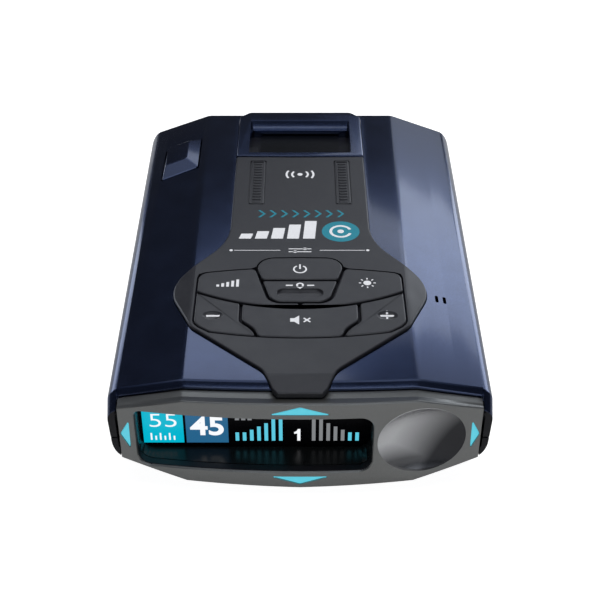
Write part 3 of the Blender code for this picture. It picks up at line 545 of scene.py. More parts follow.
def make_dish_surface():
    """Metal with painted highlight and shade: light at the dish's upper left, dark towards its lower right
    and low down.
    """
    dish = Surface(
        "dish_metal_painted_shade", (0.42, 0.42, 0.42), 0.2, 1.0,
        wear=((0.5, 2), 0.18, 0.23), grain=((5.0, 1), 0.003, 0.2),
    )
    # painted highlight and shade: the colour ramps from light to dark across the dish and towards its
    # bottom
    slant = -0.55
    across = dish.node("ShaderNodeVectorMath")
    across.operation = "DOT_PRODUCT"
    dish.tree.links.new(dish.place, across.inputs[0])
    across.inputs[1].default_value = (1.0, 0.0, slant)
    middle = DISH_X + slant * DISH_Z
    painted_shade_across = dish.ramp(across.outputs["Value"], (middle - 7.0) * MM, (middle + 6.5) * MM)
    height = dish.node("ShaderNodeSeparateXYZ", Vector=dish.place).outputs["Z"]
    painted_shade_down = dish.ramp(height, (DISH_Z - 1.0) * MM, (DISH_Z - 6.5) * MM, 0.0, 0.85)
    painted_shade = dish.node("ShaderNodeMath")
    painted_shade.operation = "MAXIMUM"
    dish.tree.links.new(painted_shade_across, painted_shade.inputs[0])
    dish.tree.links.new(painted_shade_down, painted_shade.inputs[1])
    # painted highlight and shade in the base colour, from near white to near black
    dish.blend(painted_shade.outputs["Value"], (0.93, 0.93, 0.94), (0.07, 0.07, 0.075))
    return dish


def make_lit_surface(name, colour):
    """A lit part of the display: black glass that glows."""
    pixel = Surface(name, (0.0, 0.0, 0.0), 0.3, wear=((2.0,), 0.25, 0.35))
    pixel.glow(colour, 1.0)
    return pixel


def make_surfaces():
    made = {
        "navy": Surface(
            "navy_metallic_paint", (0.06, 0.085, 0.18), 0.24, 1.0,
            tint=((2.6, 3), (0.050, 0.074, 0.160), (0.070, 0.098, 0.205)),
            wear=((0.12, 2), 0.22, 0.27), grain=((3.0, 1), 0.003, 0.10),
            Coat_Weight=1.0, Coat_Roughness=0.1, Coat_IOR=1.5,
        ),
        "case": Surface(
            "black_moulded_plastic", (0.008, 0.008, 0.011), 0.5, Specular_IOR_Level=0.3,
            wear=((0.2,), 0.42, 0.56), grain=((3.2, 2), 0.03, 0.35),
        ),
        "bezel": Surface(
            "grey_satin_paint", (0.29, 0.292, 0.285), 0.32, 0.9,
            tint=((5.0, 2), (0.27, 0.272, 0.265), (0.31, 0.312, 0.305)),
            wear=((0.3,), 0.29, 0.35), grain=((6.0, 1), 0.004, 0.3),
        ),
        # metal with painted highlight and shade, light at the upper left and dark at the lower right
        "dish": make_dish_surface(),
        "console": Surface(
            "charcoal_soft_touch", (0.020, 0.020, 0.024), 0.34, Specular_IOR_Level=1.0,
            tint=((0.5, 3), (0.018, 0.018, 0.022), (0.023, 0.023, 0.027)),
            wear=((0.25,), 0.32, 0.38), grain=((7.0, 1), 0.006, 0.3),
        ),
        "key": Surface(
            "charcoal_key", (0.024, 0.024, 0.028), 0.36, Specular_IOR_Level=1.0,
            tint=((0.6, 3), (0.022, 0.022, 0.026), (0.027, 0.027, 0.031)),
            wear=((0.25,), 0.33, 0.4), grain=((7.0, 1), 0.005, 0.3),
        ),
        "rubber": Surface("silicone_rubber", (0.22, 0.22, 0.23), 0.7, wear=((0.5,), 0.6, 0.8)),
        "gloss": Surface(
            "satin_black", (0.020, 0.021, 0.021), 0.24, Specular_IOR_Level=0.25,
            wear=((0.15,), 0.21, 0.27),
        ),
        "screen": Surface(
            "screen_glass", (0.002, 0.002, 0.003), 0.25, Specular_IOR_Level=0.08,
            wear=((0.1,), 0.22, 0.28),
        ),
        "lamp": Surface(
            "cyan_light_guide", (0.02, 0.16, 0.19), 0.35,
            tint=((0.8,), (0.015, 0.15, 0.18), (0.025, 0.18, 0.22)),
        ),
        "board": Surface(
            "circuit_board", (0.008, 0.075, 0.035), 0.35, Coat_Weight=0.5,
            tint=((1.0, 4), (0.006, 0.06, 0.028), (0.012, 0.11, 0.05)), grain=((1.3, 1), 0.02, 0.3),
        ),
        "metal": Surface(
            "plated_metal", (0.58, 0.58, 0.57), 0.3, 1.0, wear=((0.4, 3, (1, 6, 1)), 0.22, 0.38),
        ),
        "cast": Surface(
            "cast_metal", (0.5, 0.5, 0.49), 0.45, 1.0,
            wear=((0.6,), 0.38, 0.55), grain=((1.6, 3), 0.03, 0.4),
        ),
        "steel": Surface(
            "blackened_steel", (0.022, 0.022, 0.024), 0.4, 1.0,
            wear=((0.8, 3, (1, 5, 1)), 0.28, 0.42),
        ),
        "ceramic": Surface(
            "patch_ceramic", (0.55, 0.48, 0.36), 0.6,
            tint=((0.8, 3), (0.5, 0.43, 0.32), (0.6, 0.53, 0.4)),
        ),
        "film": Surface(
            "flex_film", (0.42, 0.19, 0.04), 0.35, Coat_Weight=0.4,
            tint=((0.6,), (0.36, 0.15, 0.03), (0.48, 0.23, 0.05)),
        ),
        "infrared": Surface(
            "infrared_lens", (0.02, 0.003, 0.006), 0.06, Coat_Weight=1.0, wear=((0.2,), 0.05, 0.09),
        ),
        "ink": Surface(
            "printed_legend", (0.86, 0.86, 0.88), 0.5,
            tint=((3.0,), (0.82, 0.82, 0.84), (0.89, 0.89, 0.91)),
        ),
        "teal": Surface(
            "teal_print", (0.02, 0.24, 0.32), 0.45,
            tint=((3.0,), (0.018, 0.22, 0.30), (0.025, 0.27, 0.35)),
        ),
        "label": Surface(
            "blank_label", (0.35, 0.36, 0.37), 0.4, 0.6, wear=((0.8, 3, (1, 8, 1)), 0.32, 0.46),
        ),
    }
    made["lamp"].glow((0.085, 0.47, 0.58), 1.0)
    lit = {
        "lit_cyan": (0.0, 0.46, 0.62), "lit_blue": (0.019, 0.122, 0.255), "lit_bar": (0.11, 0.58, 0.74),
        "lit_grey": (0.22, 0.23, 0.24), "lit_white": (0.95, 0.97, 1.0),
    }
    made.update({name: make_lit_surface(name, colour) for name, colour in lit.items()})
    return {name: surface.material for name, surface in made.items()}


# ---- casing ----
def swept(name, places, section, finish=None, place=cased):
    """A solid through the (y, z) corners of a section at each x."""
    return loft(name, [[place(x, y, z) for y, z in section(x)] for x in places], finish)


def straight(x, y, z):
    return (x, y, z)


def make_upper_shell(m):
    def outer(x):
        back, drop = lip_bevel(x)
        corners = [
            (rear(x), SEAM), (rear(x), lid(x)), (lip(x) + back, lid(x)), (lip(x), lid(x) - drop),
            (lip(x), SEAM),
        ]
        return soften(corners, [0.15, 0.6, 0.35, 0.3, 0.15])

    ceiling = [(0, TOP - WALL), (CREASE, TOP - WALL), (41.0, lid(41.0) - WALL), (43.0, 22.8)]

    def inner(x):
        back, front, high = rear(x) - 2, lip(x) - 5, between(x, ceiling)
        return [(back, SEAM - 1), (back, high), (front, high), (front, SEAM - 1)]

    shell = swept("upper_shell_skin", shell_columns(), outer, m["navy"])
    places = mirrored([x for x, z in ceiling] + [REAR_CORNER_X, 36])
    cut(shell, swept("cavity", places, inner))
    pocket = plate(
        "pocket", console_outline(0.22), -0.9, 5, 0.0, creases=CONSOLE_CREASES, steps=0,
        height=lambda x, y: lid_over(x, y) - tongue_drop(y) * 0.6,
    )
    dock_hole = prism("dock_hole", dock_outline(0.22), DOCK_FLOOR - 1.5, TOP + 3)
    button_hole = prism("button_hole", release_outline(0.3), 20, TOP + 3)
    _, _, y0, y1, _, z1 = box_mm("port_panel")
    panel_hole = box("panel_hole", (-50, y0 - GAP, SEAM - 1), (-40, y1 + GAP, z1 + GAP))
    lens_hole = prism_y("lens_hole", rectangle(*LENS_WINDOW, 1.3), 60, 75)
    slots = [
        prism("slot", rectangle(x - 0.42, x + 0.42, -29.0, -26.2, 0.4), 20, TOP + 3)
        for x in MICROPHONE_SLOTS
    ]
    cut(shell, pocket, dock_hole, button_hole, panel_hole, lens_hole, *slots)
    # the front ends beside the bezel are bare black plastic
    paint_faces(shell, m["case"], lambda place, normal: abs(place.x) > CHEEK and normal.y < -0.9)
    fit(shell, "casing", "navy_paint", "upper_shell")


def make_lower_shell(m):
    def outer(x):
        seam, rise = SEAM - GAP, belly(x) + front_rise(x)
        corners = [
            (lip(x), seam), (lip(x), rise), (BELLY_FRONT, belly(x)), (rear(x) - 2, belly(x)),
            (rear(x), rise), (rear(x), seam),
        ]
        return soften(corners, [0.15, 0.8, 2.5, 1.0, 0.8, 0.15])

    def inner(x):
        front, back, beside_wall = lip(x) - 5, rear(x) - 2, 11.2
        low = min(beside_wall, belly(x) + WALL) if abs(x) < 42 else beside_wall
        rise = low + front_rise(x)
        return [
            (front, SEAM + 1), (front, rise), (lip(x), rise), (BELLY_FRONT, low), (back - 1, low),
            (back, low + 2), (back, SEAM + 1),
        ]

    shell = swept("lower_shell_skin", shell_columns(), outer, m["case"])
    cut(shell, swept("cavity", mirrored([0, BELLY_FLAT, REAR_CORNER_X, 36, 41.0, 43.0]), inner))
    holes = []
    for i in range(1, 5):
        x0, x1, y0, y1, _, _ = box_mm(f"case_screw_{i}")
        holes.append(prism("hole", disc(((x0 + x1) / 2, (y0 + y1) / 2), 2.6, 32), -5, SEAM + 2))
    _, _, y0, y1, _, _ = box_mm("speaker")
    middle = (y0 + y1) / 2
    for x, reach in SPEAKER_SLOTS:
        slot = rectangle(x - 0.6, x + 0.6, middle - reach, middle + reach, 0.55)
        holes.append(prism("slot", slot, -2, 4))
    holes.append(prism("recess", rectangle(*LABEL_RECESS, 2.0), -2, 0.3))
    cut(shell, *holes, hood_block("relief", HOOD + GAP, 1.0, -55.0))
    fit(shell, "casing", "black_case", "lower_shell")
    x0, x1, y0, y1 = LABEL_RECESS
    paper = rectangle(x0 + 0.6, x1 - 0.6, y0 + 0.6, y1 - 0.6, 1.6)
    fit(plate("blank_rating_label", paper, 0.12, 0.28, 0.03, m["label"]), "casing", "bare_metal")


def make_bezel(m):
    """The driver's side: a swept face with the display window, four arrow slots and the round dish."""
    def outer(x):
        spigot, bottom = lid(x) - WALL - GAP, between(x, BEZEL_BOTTOM)
        ledge, channel = lid(x) - between(x, LEDGE_DROP), lid(x) - between(x, CHANNEL_DROP)
        ridge, step, front = between(x, RIDGE), lip(x) - GAP, face(x)
        low = belly(x) + front_rise(x) + 2.1
        corners = [
            (-58.5, low), (-58.5, spigot), (step, spigot), (step - 0.02, ledge),
            (lip(x) - 2.2, channel), (front + 1.0, ridge - 0.2),
            (front + 0.2, ridge), (front, ridge - 0.3), (front, bottom + 0.6), (front + 0.6, bottom),
            (step, bottom), (step, low),
        ]
        return soften(corners, [0.1, 0.1, 0.01, 0.005, 0.1, 0.4, 0.18, 0.18, 0.4, 0.4, 0.1, 0.1])

    def inner(x):
        front, low, high = face(x) + 2.2, belly(x) + front_rise(x) + 3.8, lid(x) - 4.2
        return [(front, low), (front, high), (-50, high), (-50, low)]

    stops = [CREASE - 0.6, CREASE - 0.3, CREASE, CREASE + 0.3, CREASE + 0.6, 36, BEZEL_SIDE]
    bezel = swept("bezel_skin", mirrored(columns(stops, 2.0)), outer, m["bezel"], straight)
    places = mirrored([0, 8, 16, CREASE, 35, BEZEL_SIDE - 1.6])
    hollow = swept("hollow", places, inner, place=straight)
    ends = [
        box("end", (min(x, x + 9 * s), -61.6, 0), (max(x, x + 9 * s), -50, 40))
        for s, x in ((-1, -41.2), (1, 41.2))
    ]
    cut(bezel, hollow, hood_block("relief", HOOD + GAP, 2.2, -50), *ends)
    join(bezel, prism_y("pad", disc((DISH_X, DISH_Z), DISH_R - 0.4), -66.2, -63.0))
    # the window's edge is nearly sharp at the top and wider at the bottom, so each ring is also lowered
    rim = [(0.0, 0.5), (0.1, 0.36), (0.3, 0.2), (0.42, 0.07), (0.55, -0.03), (0.75, -0.5)]
    window = loft("window", [
        [(x, -50, z) for x, z in divided(window_outline())],
        *[[(x, face(x) + back, z - 0.4 * grow) for x, z in divided(window_outline(0.6 * grow))]
          for grow, back in rim],
        [(x, -80, z) for x, z in divided(window_outline(0.5))],
    ])
    arrows = [
        prism_y("slot", inset(softened_arrow(arrow), -0.16), -80, -67.1 if "up" in name else -50)
        for name, arrow in ARROWS.items()
    ]
    cut(bezel, window, dish_ball(), *arrows)

    def in_dish(place, normal):
        across, up = (place.x - DISH_X) / DISH_STRETCH[0], (place.z - DISH_Z) / DISH_STRETCH[1]
        return hypot(across, up) < DISH_R + 0.2 and face(place.x) + 0.02 < place.y < -63.1

    def in_window(place, normal):
        x0, x1, z0, z1 = WINDOW
        within = x0 - 0.5 < place.x < x1 + 0.5 and z0 - 0.6 < place.z < z1 + 0.5
        return within and place.y > face(place.x) + 0.3

    # the window's inner walls are bare black plastic
    # the dish takes the metal with painted highlight and shade in its colour
    paint_faces(bezel, m["dish"], in_dish)
    paint_faces(bezel, m["case"], in_window)
    fit(bezel, "casing", "grey_bezel", "front_bezel")


def window_outline(grow=0.0):
    x0, x1, z0, z1 = WINDOW
    corners = rectangle(x0 - grow, x1 + grow, z0 - grow, z1 + grow)
    return rounded(corners, [radius + grow for radius in (3.2, 3.2, 3.0, 1.3)], 10)


def divided(outline):
    """The outline with points added along its straight edges, so that it can follow a curved face."""
    pieces = 20
    points = []
    for i, here in enumerate(outline):
        start, end = Vector(outline[i - 1]), Vector(here)
        if (end - start).length > 4:
            points += [tuple(start.lerp(end, k / pieces)) for k in range(1, pieces)]
        points.append(here)
    return points


def hood_block(name, grow, behind_face, y_back):
    """The window's outline as a block, from behind the swept face to y_back."""
    def section(x):
        front = face(x) + behind_face
        return [(front, 0), (front, 40), (y_back, 40), (y_back, 0)]

    block = prism_y(name, window_outline(grow), -80, -45)
    slab = swept("slab", columns_between(-43, 22, 3.0), section, place=straight)
    return combine(block, [slab], "INTERSECT")


def columns_between(x0, x1, pitch):
    count = max(1, round((x1 - x0) / pitch))
    return [x0 + (x1 - x0) * i / count for i in range(count + 1)]


def dish_ball():
    """A cutter that leaves a shallow spherical dish, with its axis square to the swept face."""
    radius = (DISH_R ** 2 + DISH_DEPTH ** 2) / (2 * DISH_DEPTH)
    normal = Vector((2 * DISH_X / FACE_CURVE, -1, 0)).normalized()
    middle = Vector((DISH_X, face(DISH_X), DISH_Z)) + normal * (radius - DISH_DEPTH)
    side, up = Vector((-normal.y, normal.x, 0)) * DISH_STRETCH[0], Vector((0, 0, DISH_STRETCH[1]))
    count = 16
    past_rim = 1.12 * DISH_R / radius
    rings = []
    for i in range(1, count + 1):
        angle = past_rim * i / count
        rings.append([
            middle - normal * radius * cos(angle) + (side * x + up * z) * radius * sin(angle)
            for x, z in disc((0, 0), 1, 72)
        ])
    rings.append([point + normal * 12 for point in rings[-1]])
    mesh = bmesh.new()
    rows = wall(mesh, rings)
    pole = mesh.verts.new(middle - normal * radius)
    for i, corner in enumerate(rows[0]):
        mesh.faces.new((pole, corner, rows[0][i - 1]))
    mesh.faces.new(reversed(rows[-1]))
    return solid("ball", mesh, None)


ARROWS = {
    "arrow_light_up": [(-6.6, 25.75), (6.6, 25.75), (0, 27.9)],
    "arrow_light_down": [(-6.4, 6.1), (0, 3.9), (6.4, 6.1)],
    "arrow_light_left": [(-40.0, 12.8), (-39.9, 20.4), (-41.9, 16.6)],
    "arrow_light_right": [(40.2, 12.8), (41.9, 16.6), (40.1, 20.4)],
}


def softened_arrow(corners):
    return soften(corners, [0.2] * 3)


def make_arrow_lights(m):
    for node, corners in ARROWS.items():
        outline = softened_arrow(corners)
        deep = 1.2 if "up" in node else 3.4
        rings = [
            [(x, face(x) + back, z) for x, z in inset(outline, depth)]
            for depth, back in ((0.0, deep), (0.0, 0.22), (0.05, 0.1), (0.16, 0.03))
        ]
        fit(loft(f"{node}_lens", rings, m["lamp"]), "casing", "light_guide", node)


# ---- console and keys ----
RIB_STRIPS = ("rib_strip_left", "rib_strip_right")
CONSOLE_CREASES = [
    ((side * (CREASE + d), FLARE_FROM, 0), (side, -FLARE, 0))
    for side in (-1, 1) for d in (-0.5, -0.2, 0.2, 0.5)
]
CONSOLE_CREASES += [((0, y, 0), (0, 1, 0)) for y in (-59.6, -59.9, -60.2, -60.5, -60.8)]


def console_outline(grow=0.0):
    g = grow
    corners = [
        (COLUMN + g, COLUMN_REAR + g), (COLUMN + g, -4.6), (33.7 + g, -24.5 - g / 4),
        (26.6 + g, -41.9 - g / 2), (8.6 + g, -58.3 - g / 2), (6.3 + g, -64.2), (5.2 + g, TONGUE_Y - g),
    ]
    radii = [0, 0.8, 22, 12, 5, 7, 0.6, 0.5, 0, 0]
    half = rounded([(0, 50), *corners, (0, TONGUE_Y - g), (-60, 0)], radii, 12)
    return both_sides([(0, COLUMN_REAR + g), *half[1:-2], (0, TONGUE_Y - g)])


def belt(x):
    """The groove between the upper and the lower keys."""
    radius = 54.6
    return -34.65 + radius - sqrt(radius * radius - x * x)


def field_top(x):
    return -17.3 - x * x / 260


def field_bottom(x):
    return -46.5 + x * x / 210


def curve_points(height, x0, x1, count):
    return [(x0 + (x1 - x0) * i / count, height(x0 + (x1 - x0) * i / count)) for i in range(count + 1)]


def shield_outline(grow=0.0):
    top, bottom = -12.7 + grow, -32.15 - grow
    corners = [(0, top), (12.3 + grow, top - 0.3), (7.2 + grow, bottom), (0, bottom), (-40, -21)]
    return rounded(corners, [0, 4.4 + grow, 3.6 + grow, 0, 0], 10)[:-1]


def upper_key_outline():
    start = KEY_GAP / 2
    low = curve_points(lambda x: belt(x) + KEY_GAP / 2, start, KEY_SIDE, 20)
    shoulder = [
        (KEY_SIDE, field_top(KEY_SIDE) - 1.9), (KEY_SIDE - 0.5, field_top(KEY_SIDE) - 0.6),
        (KEY_SIDE - 1.7, field_top(KEY_SIDE - 1.7)),
    ]
    top = curve_points(field_top, KEY_SIDE - 4, 12.1, 8)
    shield = [p for p in shield_outline(KEY_GAP) if p[1] < field_top(12) - 0.6 and p[0] > start]
    return low + shoulder + top + shield + [(start, -32.15 - KEY_GAP)]


def volume_key_outline():
    top = curve_points(lambda x: belt(x) - KEY_GAP / 2, KEY_SIDE, 14.9, 10)
    side = [(14.9, -39.7), (14.3, -40.8), (12.6, -42.4), (11.3, -44.1), (10.7, field_bottom(10.7))]
    bottom = curve_points(field_bottom, 14.5, 22.0, 5)
    return top + side + bottom + [(KEY_SIDE - 1.4, -42.2), (KEY_SIDE - 0.4, -40.9), (KEY_SIDE, -39.7)]


def mute_key_outline():
    top = curve_points(lambda x: belt(x) - KEY_GAP / 2, 0, 14.9 - KEY_GAP, 12)
    side = [
        (14.9 - KEY_GAP, -39.4), (13.8, -40.4), (12.1, -42.0), (10.8, -43.7),
        (10.7 - KEY_GAP, field_bottom(10)),
    ]
    return both_sides(top + side + [(5, field_bottom(5)), (0, field_bottom(0))])


def key_field_outline(grow):
    g = grow
    shield = [p for p in shield_outline(g) if p[1] > field_top(12) + g]
    top = curve_points(lambda x: field_top(x) + g, 12.3 + g, KEY_SIDE - 1.7, 8)
    side = [
        (KEY_SIDE - 0.4 + g, field_top(KEY_SIDE) - 0.5 + g), (KEY_SIDE + g, field_top(KEY_SIDE) - 1.8),
        (KEY_SIDE + g, -39.7), (KEY_SIDE - 0.4 + g, -41.1), (KEY_SIDE - 1.4 + g / 2, -42.2 - g),
    ]
    bottom = curve_points(lambda x: field_bottom(x) - g, 22.0, 0, 12)
    return both_sides(shield + top + side + bottom)


def flatten_top(plate_object):
    """Shades the level faces flat, so that the long triangles in them don't show."""
    for part in plate_object.data.polygons:
        part.use_smooth = part.normal.z < 0.9999


def make_console(m):
    def skin(x, y):
        return lid_over(x, y) - tongue_drop(y)

    console = plate(
        "console_skin", console_outline(), -0.6, PROUD, 0.35, m["console"], skin, CONSOLE_CREASES,
    )
    field = prism("field", key_field_outline(0.35), TOP - 5, TOP + 4)
    strips = []
    for node in RIB_STRIPS:
        x0, x1, y0, y1, _, _ = box_mm(node)
        hole = rectangle(x0 - GAP, x1 + GAP, y0 - GAP, y1 + GAP, 0.6)
        strips.append(prism("strip", hole, TOP + 0.2, TOP + 3))
    cut(console, field, *strips)
    flatten_top(console)
    fit(console, "casing", "charcoal_console", "keypad_console")
    bed = plate("key_bed", key_field_outline(0.3), TOP - 0.85, TOP - 0.75, 0.02, m["case"])
    fit(bed, "casing", "black_case")


def make_rib_strips(m):
    """Each strip is a thin frame round a row of low rounded ribs."""
    count = 15
    for node in RIB_STRIPS:
        x0, x1, y0, y1, _, _ = box_mm(node)
        base = plate("base", rectangle(x0, x1, y0, y1, 0.5), TOP + 0.5, TOP + 0.9, 0.15)
        well = rectangle(x0 + 0.5, x1 - 0.5, y0 + 0.5, y1 - 0.5, 0.3)
        cut(base, prism("well", well, TOP + 0.66, TOP + 3))
        pitch = (y1 - y0 - 1.2) / count
        ribs = []
        for i in range(count):
            near, far = y0 + 0.75 + pitch * i, y0 + 0.6 + pitch * (i + 0.72)
            rib = rectangle(x0 + 0.85, x1 - 0.85, near, far, 0.3, 3)
            ribs.append(plate("rib", rib, TOP + 0.64, TOP + 0.92, 0.2, steps=3))
        fit(merge(f"{node}_skin", [base, *ribs], m["console"]), "casing", "black_case", node)


def make_keys(m):
    divide = -22.9
    shield = both_sides(shield_outline())
    upper = [p for p in shield if p[1] > divide + KEY_GAP / 2]
    lower = [p for p in shield if p[1] < divide - KEY_GAP / 2]
    outlines = {
        "power": close_shield(upper, divide + KEY_GAP / 2),
        "mark": close_shield(lower, divide - KEY_GAP / 2),
        "sensitivity": mirror_outline(upper_key_outline()),
        "brightness": upper_key_outline(),
        "volume_down": mirror_outline(volume_key_outline()),
        "volume_up": volume_key_outline(),
        "mute": mute_key_outline(),
    }
    for body, outline in outlines.items():
        outline = inset(soften_sharp(outline, 0.9, 4), 0.08)
        key = plate(f"{body}_key_cap", outline, TOP - 0.1, KEY_TOP, 0.38, m["key"], sharp=10)
        if body == "mark":
            cut(key, pocket_cutter(rectangle(-5.8, 5.8, -30.2, -26.6, 1.75, 8), 0.8), sharp=10)
        if body.startswith("volume"):
            side = -1 if "down" in body else 1
            cut(key, cup_cutter(side * CUP_X), sharp=4)
        flatten_top(key)
        fit(key, body, "charcoal_key", f"{body}_key")


def close_shield(points, y):
    """Part of the shield's outline, closed with a straight edge at y."""
    def crossing(side):
        outline = shield_outline()
        for a, b in zip(outline, outline[1:]):
            if (a[1] - y) * (b[1] - y) <= 0 and a[1] != b[1]:
                return (side * (a[0] + (b[0] - a[0]) * (y - a[1]) / (b[1] - a[1])), y)
    middle = sum(p[1] for p in points) / len(points)
    ordered = points + [crossing(-1), crossing(1)]
    return sorted(ordered, key=lambda p: -atan2(p[1] - middle, p[0]))


def pocket_cutter(outline, depth):
    """Cuts a pocket with softened walls into a key's top."""
    levels = [
        (0.55, -depth), (0.3, -depth * 0.93), (0.12, -depth * 0.6), (0.0, -0.08), (-0.25, 0.05), (-0.5, 1),
    ]
    return loft("pocket", [[(x, y, KEY_TOP + z) for x, y in inset(outline, d)] for d, z in levels])


def cup_cutter(centre_x):
    """Cuts a shallow oval cup into a volume key's top."""
    levels = [(k / 8, 0.012 - CUP_DEPTH * (1 - (k / 8) ** 2.2)) for k in range(1, 9)]
    levels += [(1.05, 0.1), (1.1, 1.0)]
    return loft("cup", [
        [(centre_x + CUP_ACROSS * grow * x, CUP_Y + CUP_ALONG * grow * y, KEY_TOP + z)
         for x, y in disc((0, 0), 1, 36)]
        for grow, z in levels
    ])


def cup_depth(x, y):
    """How far the cup in a volume key lies below the key's top, at a point from the cup's centre."""
    part = min(1.0, hypot(x / CUP_ACROSS, y / CUP_ALONG))
    return CUP_DEPTH * (1 - part ** 2.2)


# ---- printed marks: icons and bars only, no lettering ----
def print_on(name, outlines, z, body, finish, slot, height=None):
    """Thin printed shapes as one piece, standing 0.02 mm over the surface below."""
    parts = [prism("mark", outline, z - 0.02, z + 0.02) for outline in outlines]
    made = merge(name, parts, finish)
    if height:
        for v in made.data.vertices:
            v.co.z += height(v.co.x / MM, v.co.y / MM) * MM
    fit(made, body, slot)


def arc_band(centre, radius, width, start, end, steps=24):
    """Part of a ring, as an outline. Angles are degrees, anticlockwise from +X."""
    cx, cy = centre
    angles = [radians(start + (end - start) * i / steps) for i in range(steps + 1)]
    outer, inner = [
        [(cx + (radius + side) * cos(a), cy + (radius + side) * sin(a)) for a in angles]
        for side in (width / 2, -width / 2)
    ]
    return outer + inner[::-1]


def bar(x0, x1, y0, y1, lean=0.0):
    return [(x0, y0), (x1, y0), (x1 + lean, y1), (x0 + lean, y1)]


def stroke(start, end, width):
    """A straight stroke between two points."""
    a, b = Vector(start), Vector(end)
    side = Vector((-(b - a).y, (b - a).x)).normalized() * width / 2
    return [tuple(a - side), tuple(b - side), tuple(b + side), tuple(a + side)]


def sun():
    """The brightness key's mark: a dot with eight rays."""
    x, y = 17.1, -24.3
    rays = []
    for i in range(8):
        along, up = cos(tau * i / 8), sin(tau * i / 8)
        rays.append(stroke((x + 1.55 * along, y + 1.55 * up), (x + 2.15 * along, y + 2.15 * up), 0.36))
    return [disc((x, y), 1.0, 24), *rays]


def make_key_marks(m):
    marks = {
        "power": ("power_mark", [
            arc_band((0, -18.2), 1.6, 0.44, 120, 420), bar(-0.22, 0.22, -18.1, -16.0),
        ]),
        "mark": ("marker_mark", [
            arc_band((0, -25.2), 0.75, 0.5, -35, 215),
            [(-0.95, -25.8), (0, -26.9), (0.95, -25.8), (0, -26.2)],
            bar(-3.6, -1.8, -25.6, -25.1), bar(1.8, 3.6, -25.6, -25.1),
        ]),
        "sensitivity": ("sensitivity_mark", [
            bar(-21.2 + 1.25 * i, -20.5 + 1.25 * i, -25.9, -25.9 + 0.9 + 0.55 * i) for i in range(5)
        ]),
        "brightness": ("brightness_mark", sun()),
        "mute": ("mute_mark", [
            [(-2.4, -39.1), (-1.4, -39.1), (-0.2, -38.0), (-0.2, -41.6), (-1.4, -40.5), (-2.4, -40.5)],
            stroke((0.9, -39.0), (2.5, -40.6), 0.42), stroke((0.9, -40.6), (1.55, -39.95), 0.42),
            stroke((1.85, -39.65), (2.5, -39.0), 0.42),
        ]),
    }
    for body, (name, outlines) in marks.items():
        print_on(name, outlines, KEY_TOP, body, m["ink"], "charcoal_key")
    for name, body, cx in (("minus_mark", "volume_down", -CUP_X), ("plus_mark", "volume_up", CUP_X)):
        strokes = [arc_band((cx, -41.6), 4.4, 0.5, 68, 112, 10)]
        if cx > 0:
            strokes += [bar(cx - 0.25, cx + 0.25, y0, y1) for y0, y1 in ((-36.8, -36.0), (-38.3, -37.6))]

        def into_cup(x, y, centre_x=cx):
            return -cup_depth(x - centre_x, y - CUP_Y)

        print_on(name, strokes, KEY_TOP, body, m["ink"], "charcoal_key", into_cup)


def make_console_marks(m):
    """Generic marks in place of the printed names: a signal motif, bars and a pill."""
    signal, pill, line_y = (0, 30.2), (11.0, -0.1), -9.2
    marks = {
        "satellite_mark": ("ink", 0.0, [disc(signal, 0.75, 24)] + [
            arc_band(signal, radius, 0.6, turn - half, turn + half, 10)
            for radius, half in ((2.3, 42), (3.9, 32)) for turn in (0, 180)
        ]),
        "teal_chevron_row": ("teal", 0.0, [chevron(-11.6 + 3.1 * i, 8.8, 3.6, 0.7) for i in range(8)]),
        "white_signal_bars": ("ink", 0.0, [
            bar(-16.4 + 4.3 * i, -13.2 + 4.3 * i, -3.6, -3.6 + tall, 0.6)
            for i, tall in enumerate([2.4, 3.6, 5.2, 6.9, 8.7])
        ]),
        "teal_pill": ("teal", 0.0, [
            [(pill[0] + 5.1 * x, pill[1] + 5.0 * y) for x, y in disc((0, 0), 1)],
        ]),
        "pill_rings": ("ink", 0.02, [arc_band(pill, 2.7, 0.75, 20, 340), disc(pill, 0.9, 20)]),
        "preference_line": ("ink", 0.0, [
            disc((-18.2, line_y), 0.45, 16), bar(-17.4, -5.2, line_y - 0.11, line_y + 0.11),
            disc((17.9, line_y), 0.45, 16), bar(5.2, 17.2, line_y - 0.11, line_y + 0.11),
            bar(-3.0, 3.0, line_y + 0.5, line_y + 0.85), bar(-3.0, 3.0, line_y - 0.85, line_y - 0.5),
            disc((1.3, line_y + 0.68), 0.55, 16), disc((-1.3, line_y - 0.68), 0.55, 16),
        ]),
    }
    for name, (finish, lift, outlines) in marks.items():
        print_on(name, outlines, CONSOLE_TOP + lift, "casing", m[finish], "charcoal_console")


def chevron(x, y, tall, width):
    half = tall / 2
    return [
        (x, y - half), (x + width, y - half), (x + width + half * 0.8, y), (x + width, y + half),
        (x, y + half), (x + half * 0.8, y),
    ]


# ---- display ----
def lit(name, outlines, finish, lift=0.04):
    """Lit shapes on the front of the display panel, given in x and z."""
    parts = [prism_y("lit", outline, SCREEN_Y - lift, SCREEN_Y - lift + 0.03) for outline in outlines]
    fit(merge(name, parts, finish), "casing", "screen")


def digits(name, text, centre, height, finish, bold, stretch):
    """Numerals on the display, as flat shapes."""
    curve = bpy.data.curves.new(name, "FONT")
    curve.body = text
    curve.align_x = "CENTER"
    curve.align_y = "CENTER"
    curve.size = height * 1.38 * MM
    curve.offset = bold * MM
    curve.extrude = 0.015 * MM
    curve.resolution_u = 6
    shape = link(bpy.data.objects.new(name, curve))
    data = bpy.data.meshes.new_from_object(shape.evaluated_get(bpy.context.evaluated_depsgraph_get()))
    bpy.data.objects.remove(shape)
    place = Matrix.Translation((centre[0] * MM, (SCREEN_Y - 0.1) * MM, centre[1] * MM))
    data.transform(place @ Matrix.Rotation(pi / 2, 4, "X") @ Matrix.Diagonal((stretch, 1, 1, 1)))
    data.materials.clear()
    data.materials.append(finish)
    fit(link(bpy.data.objects.new(name, data)), "casing", "screen")


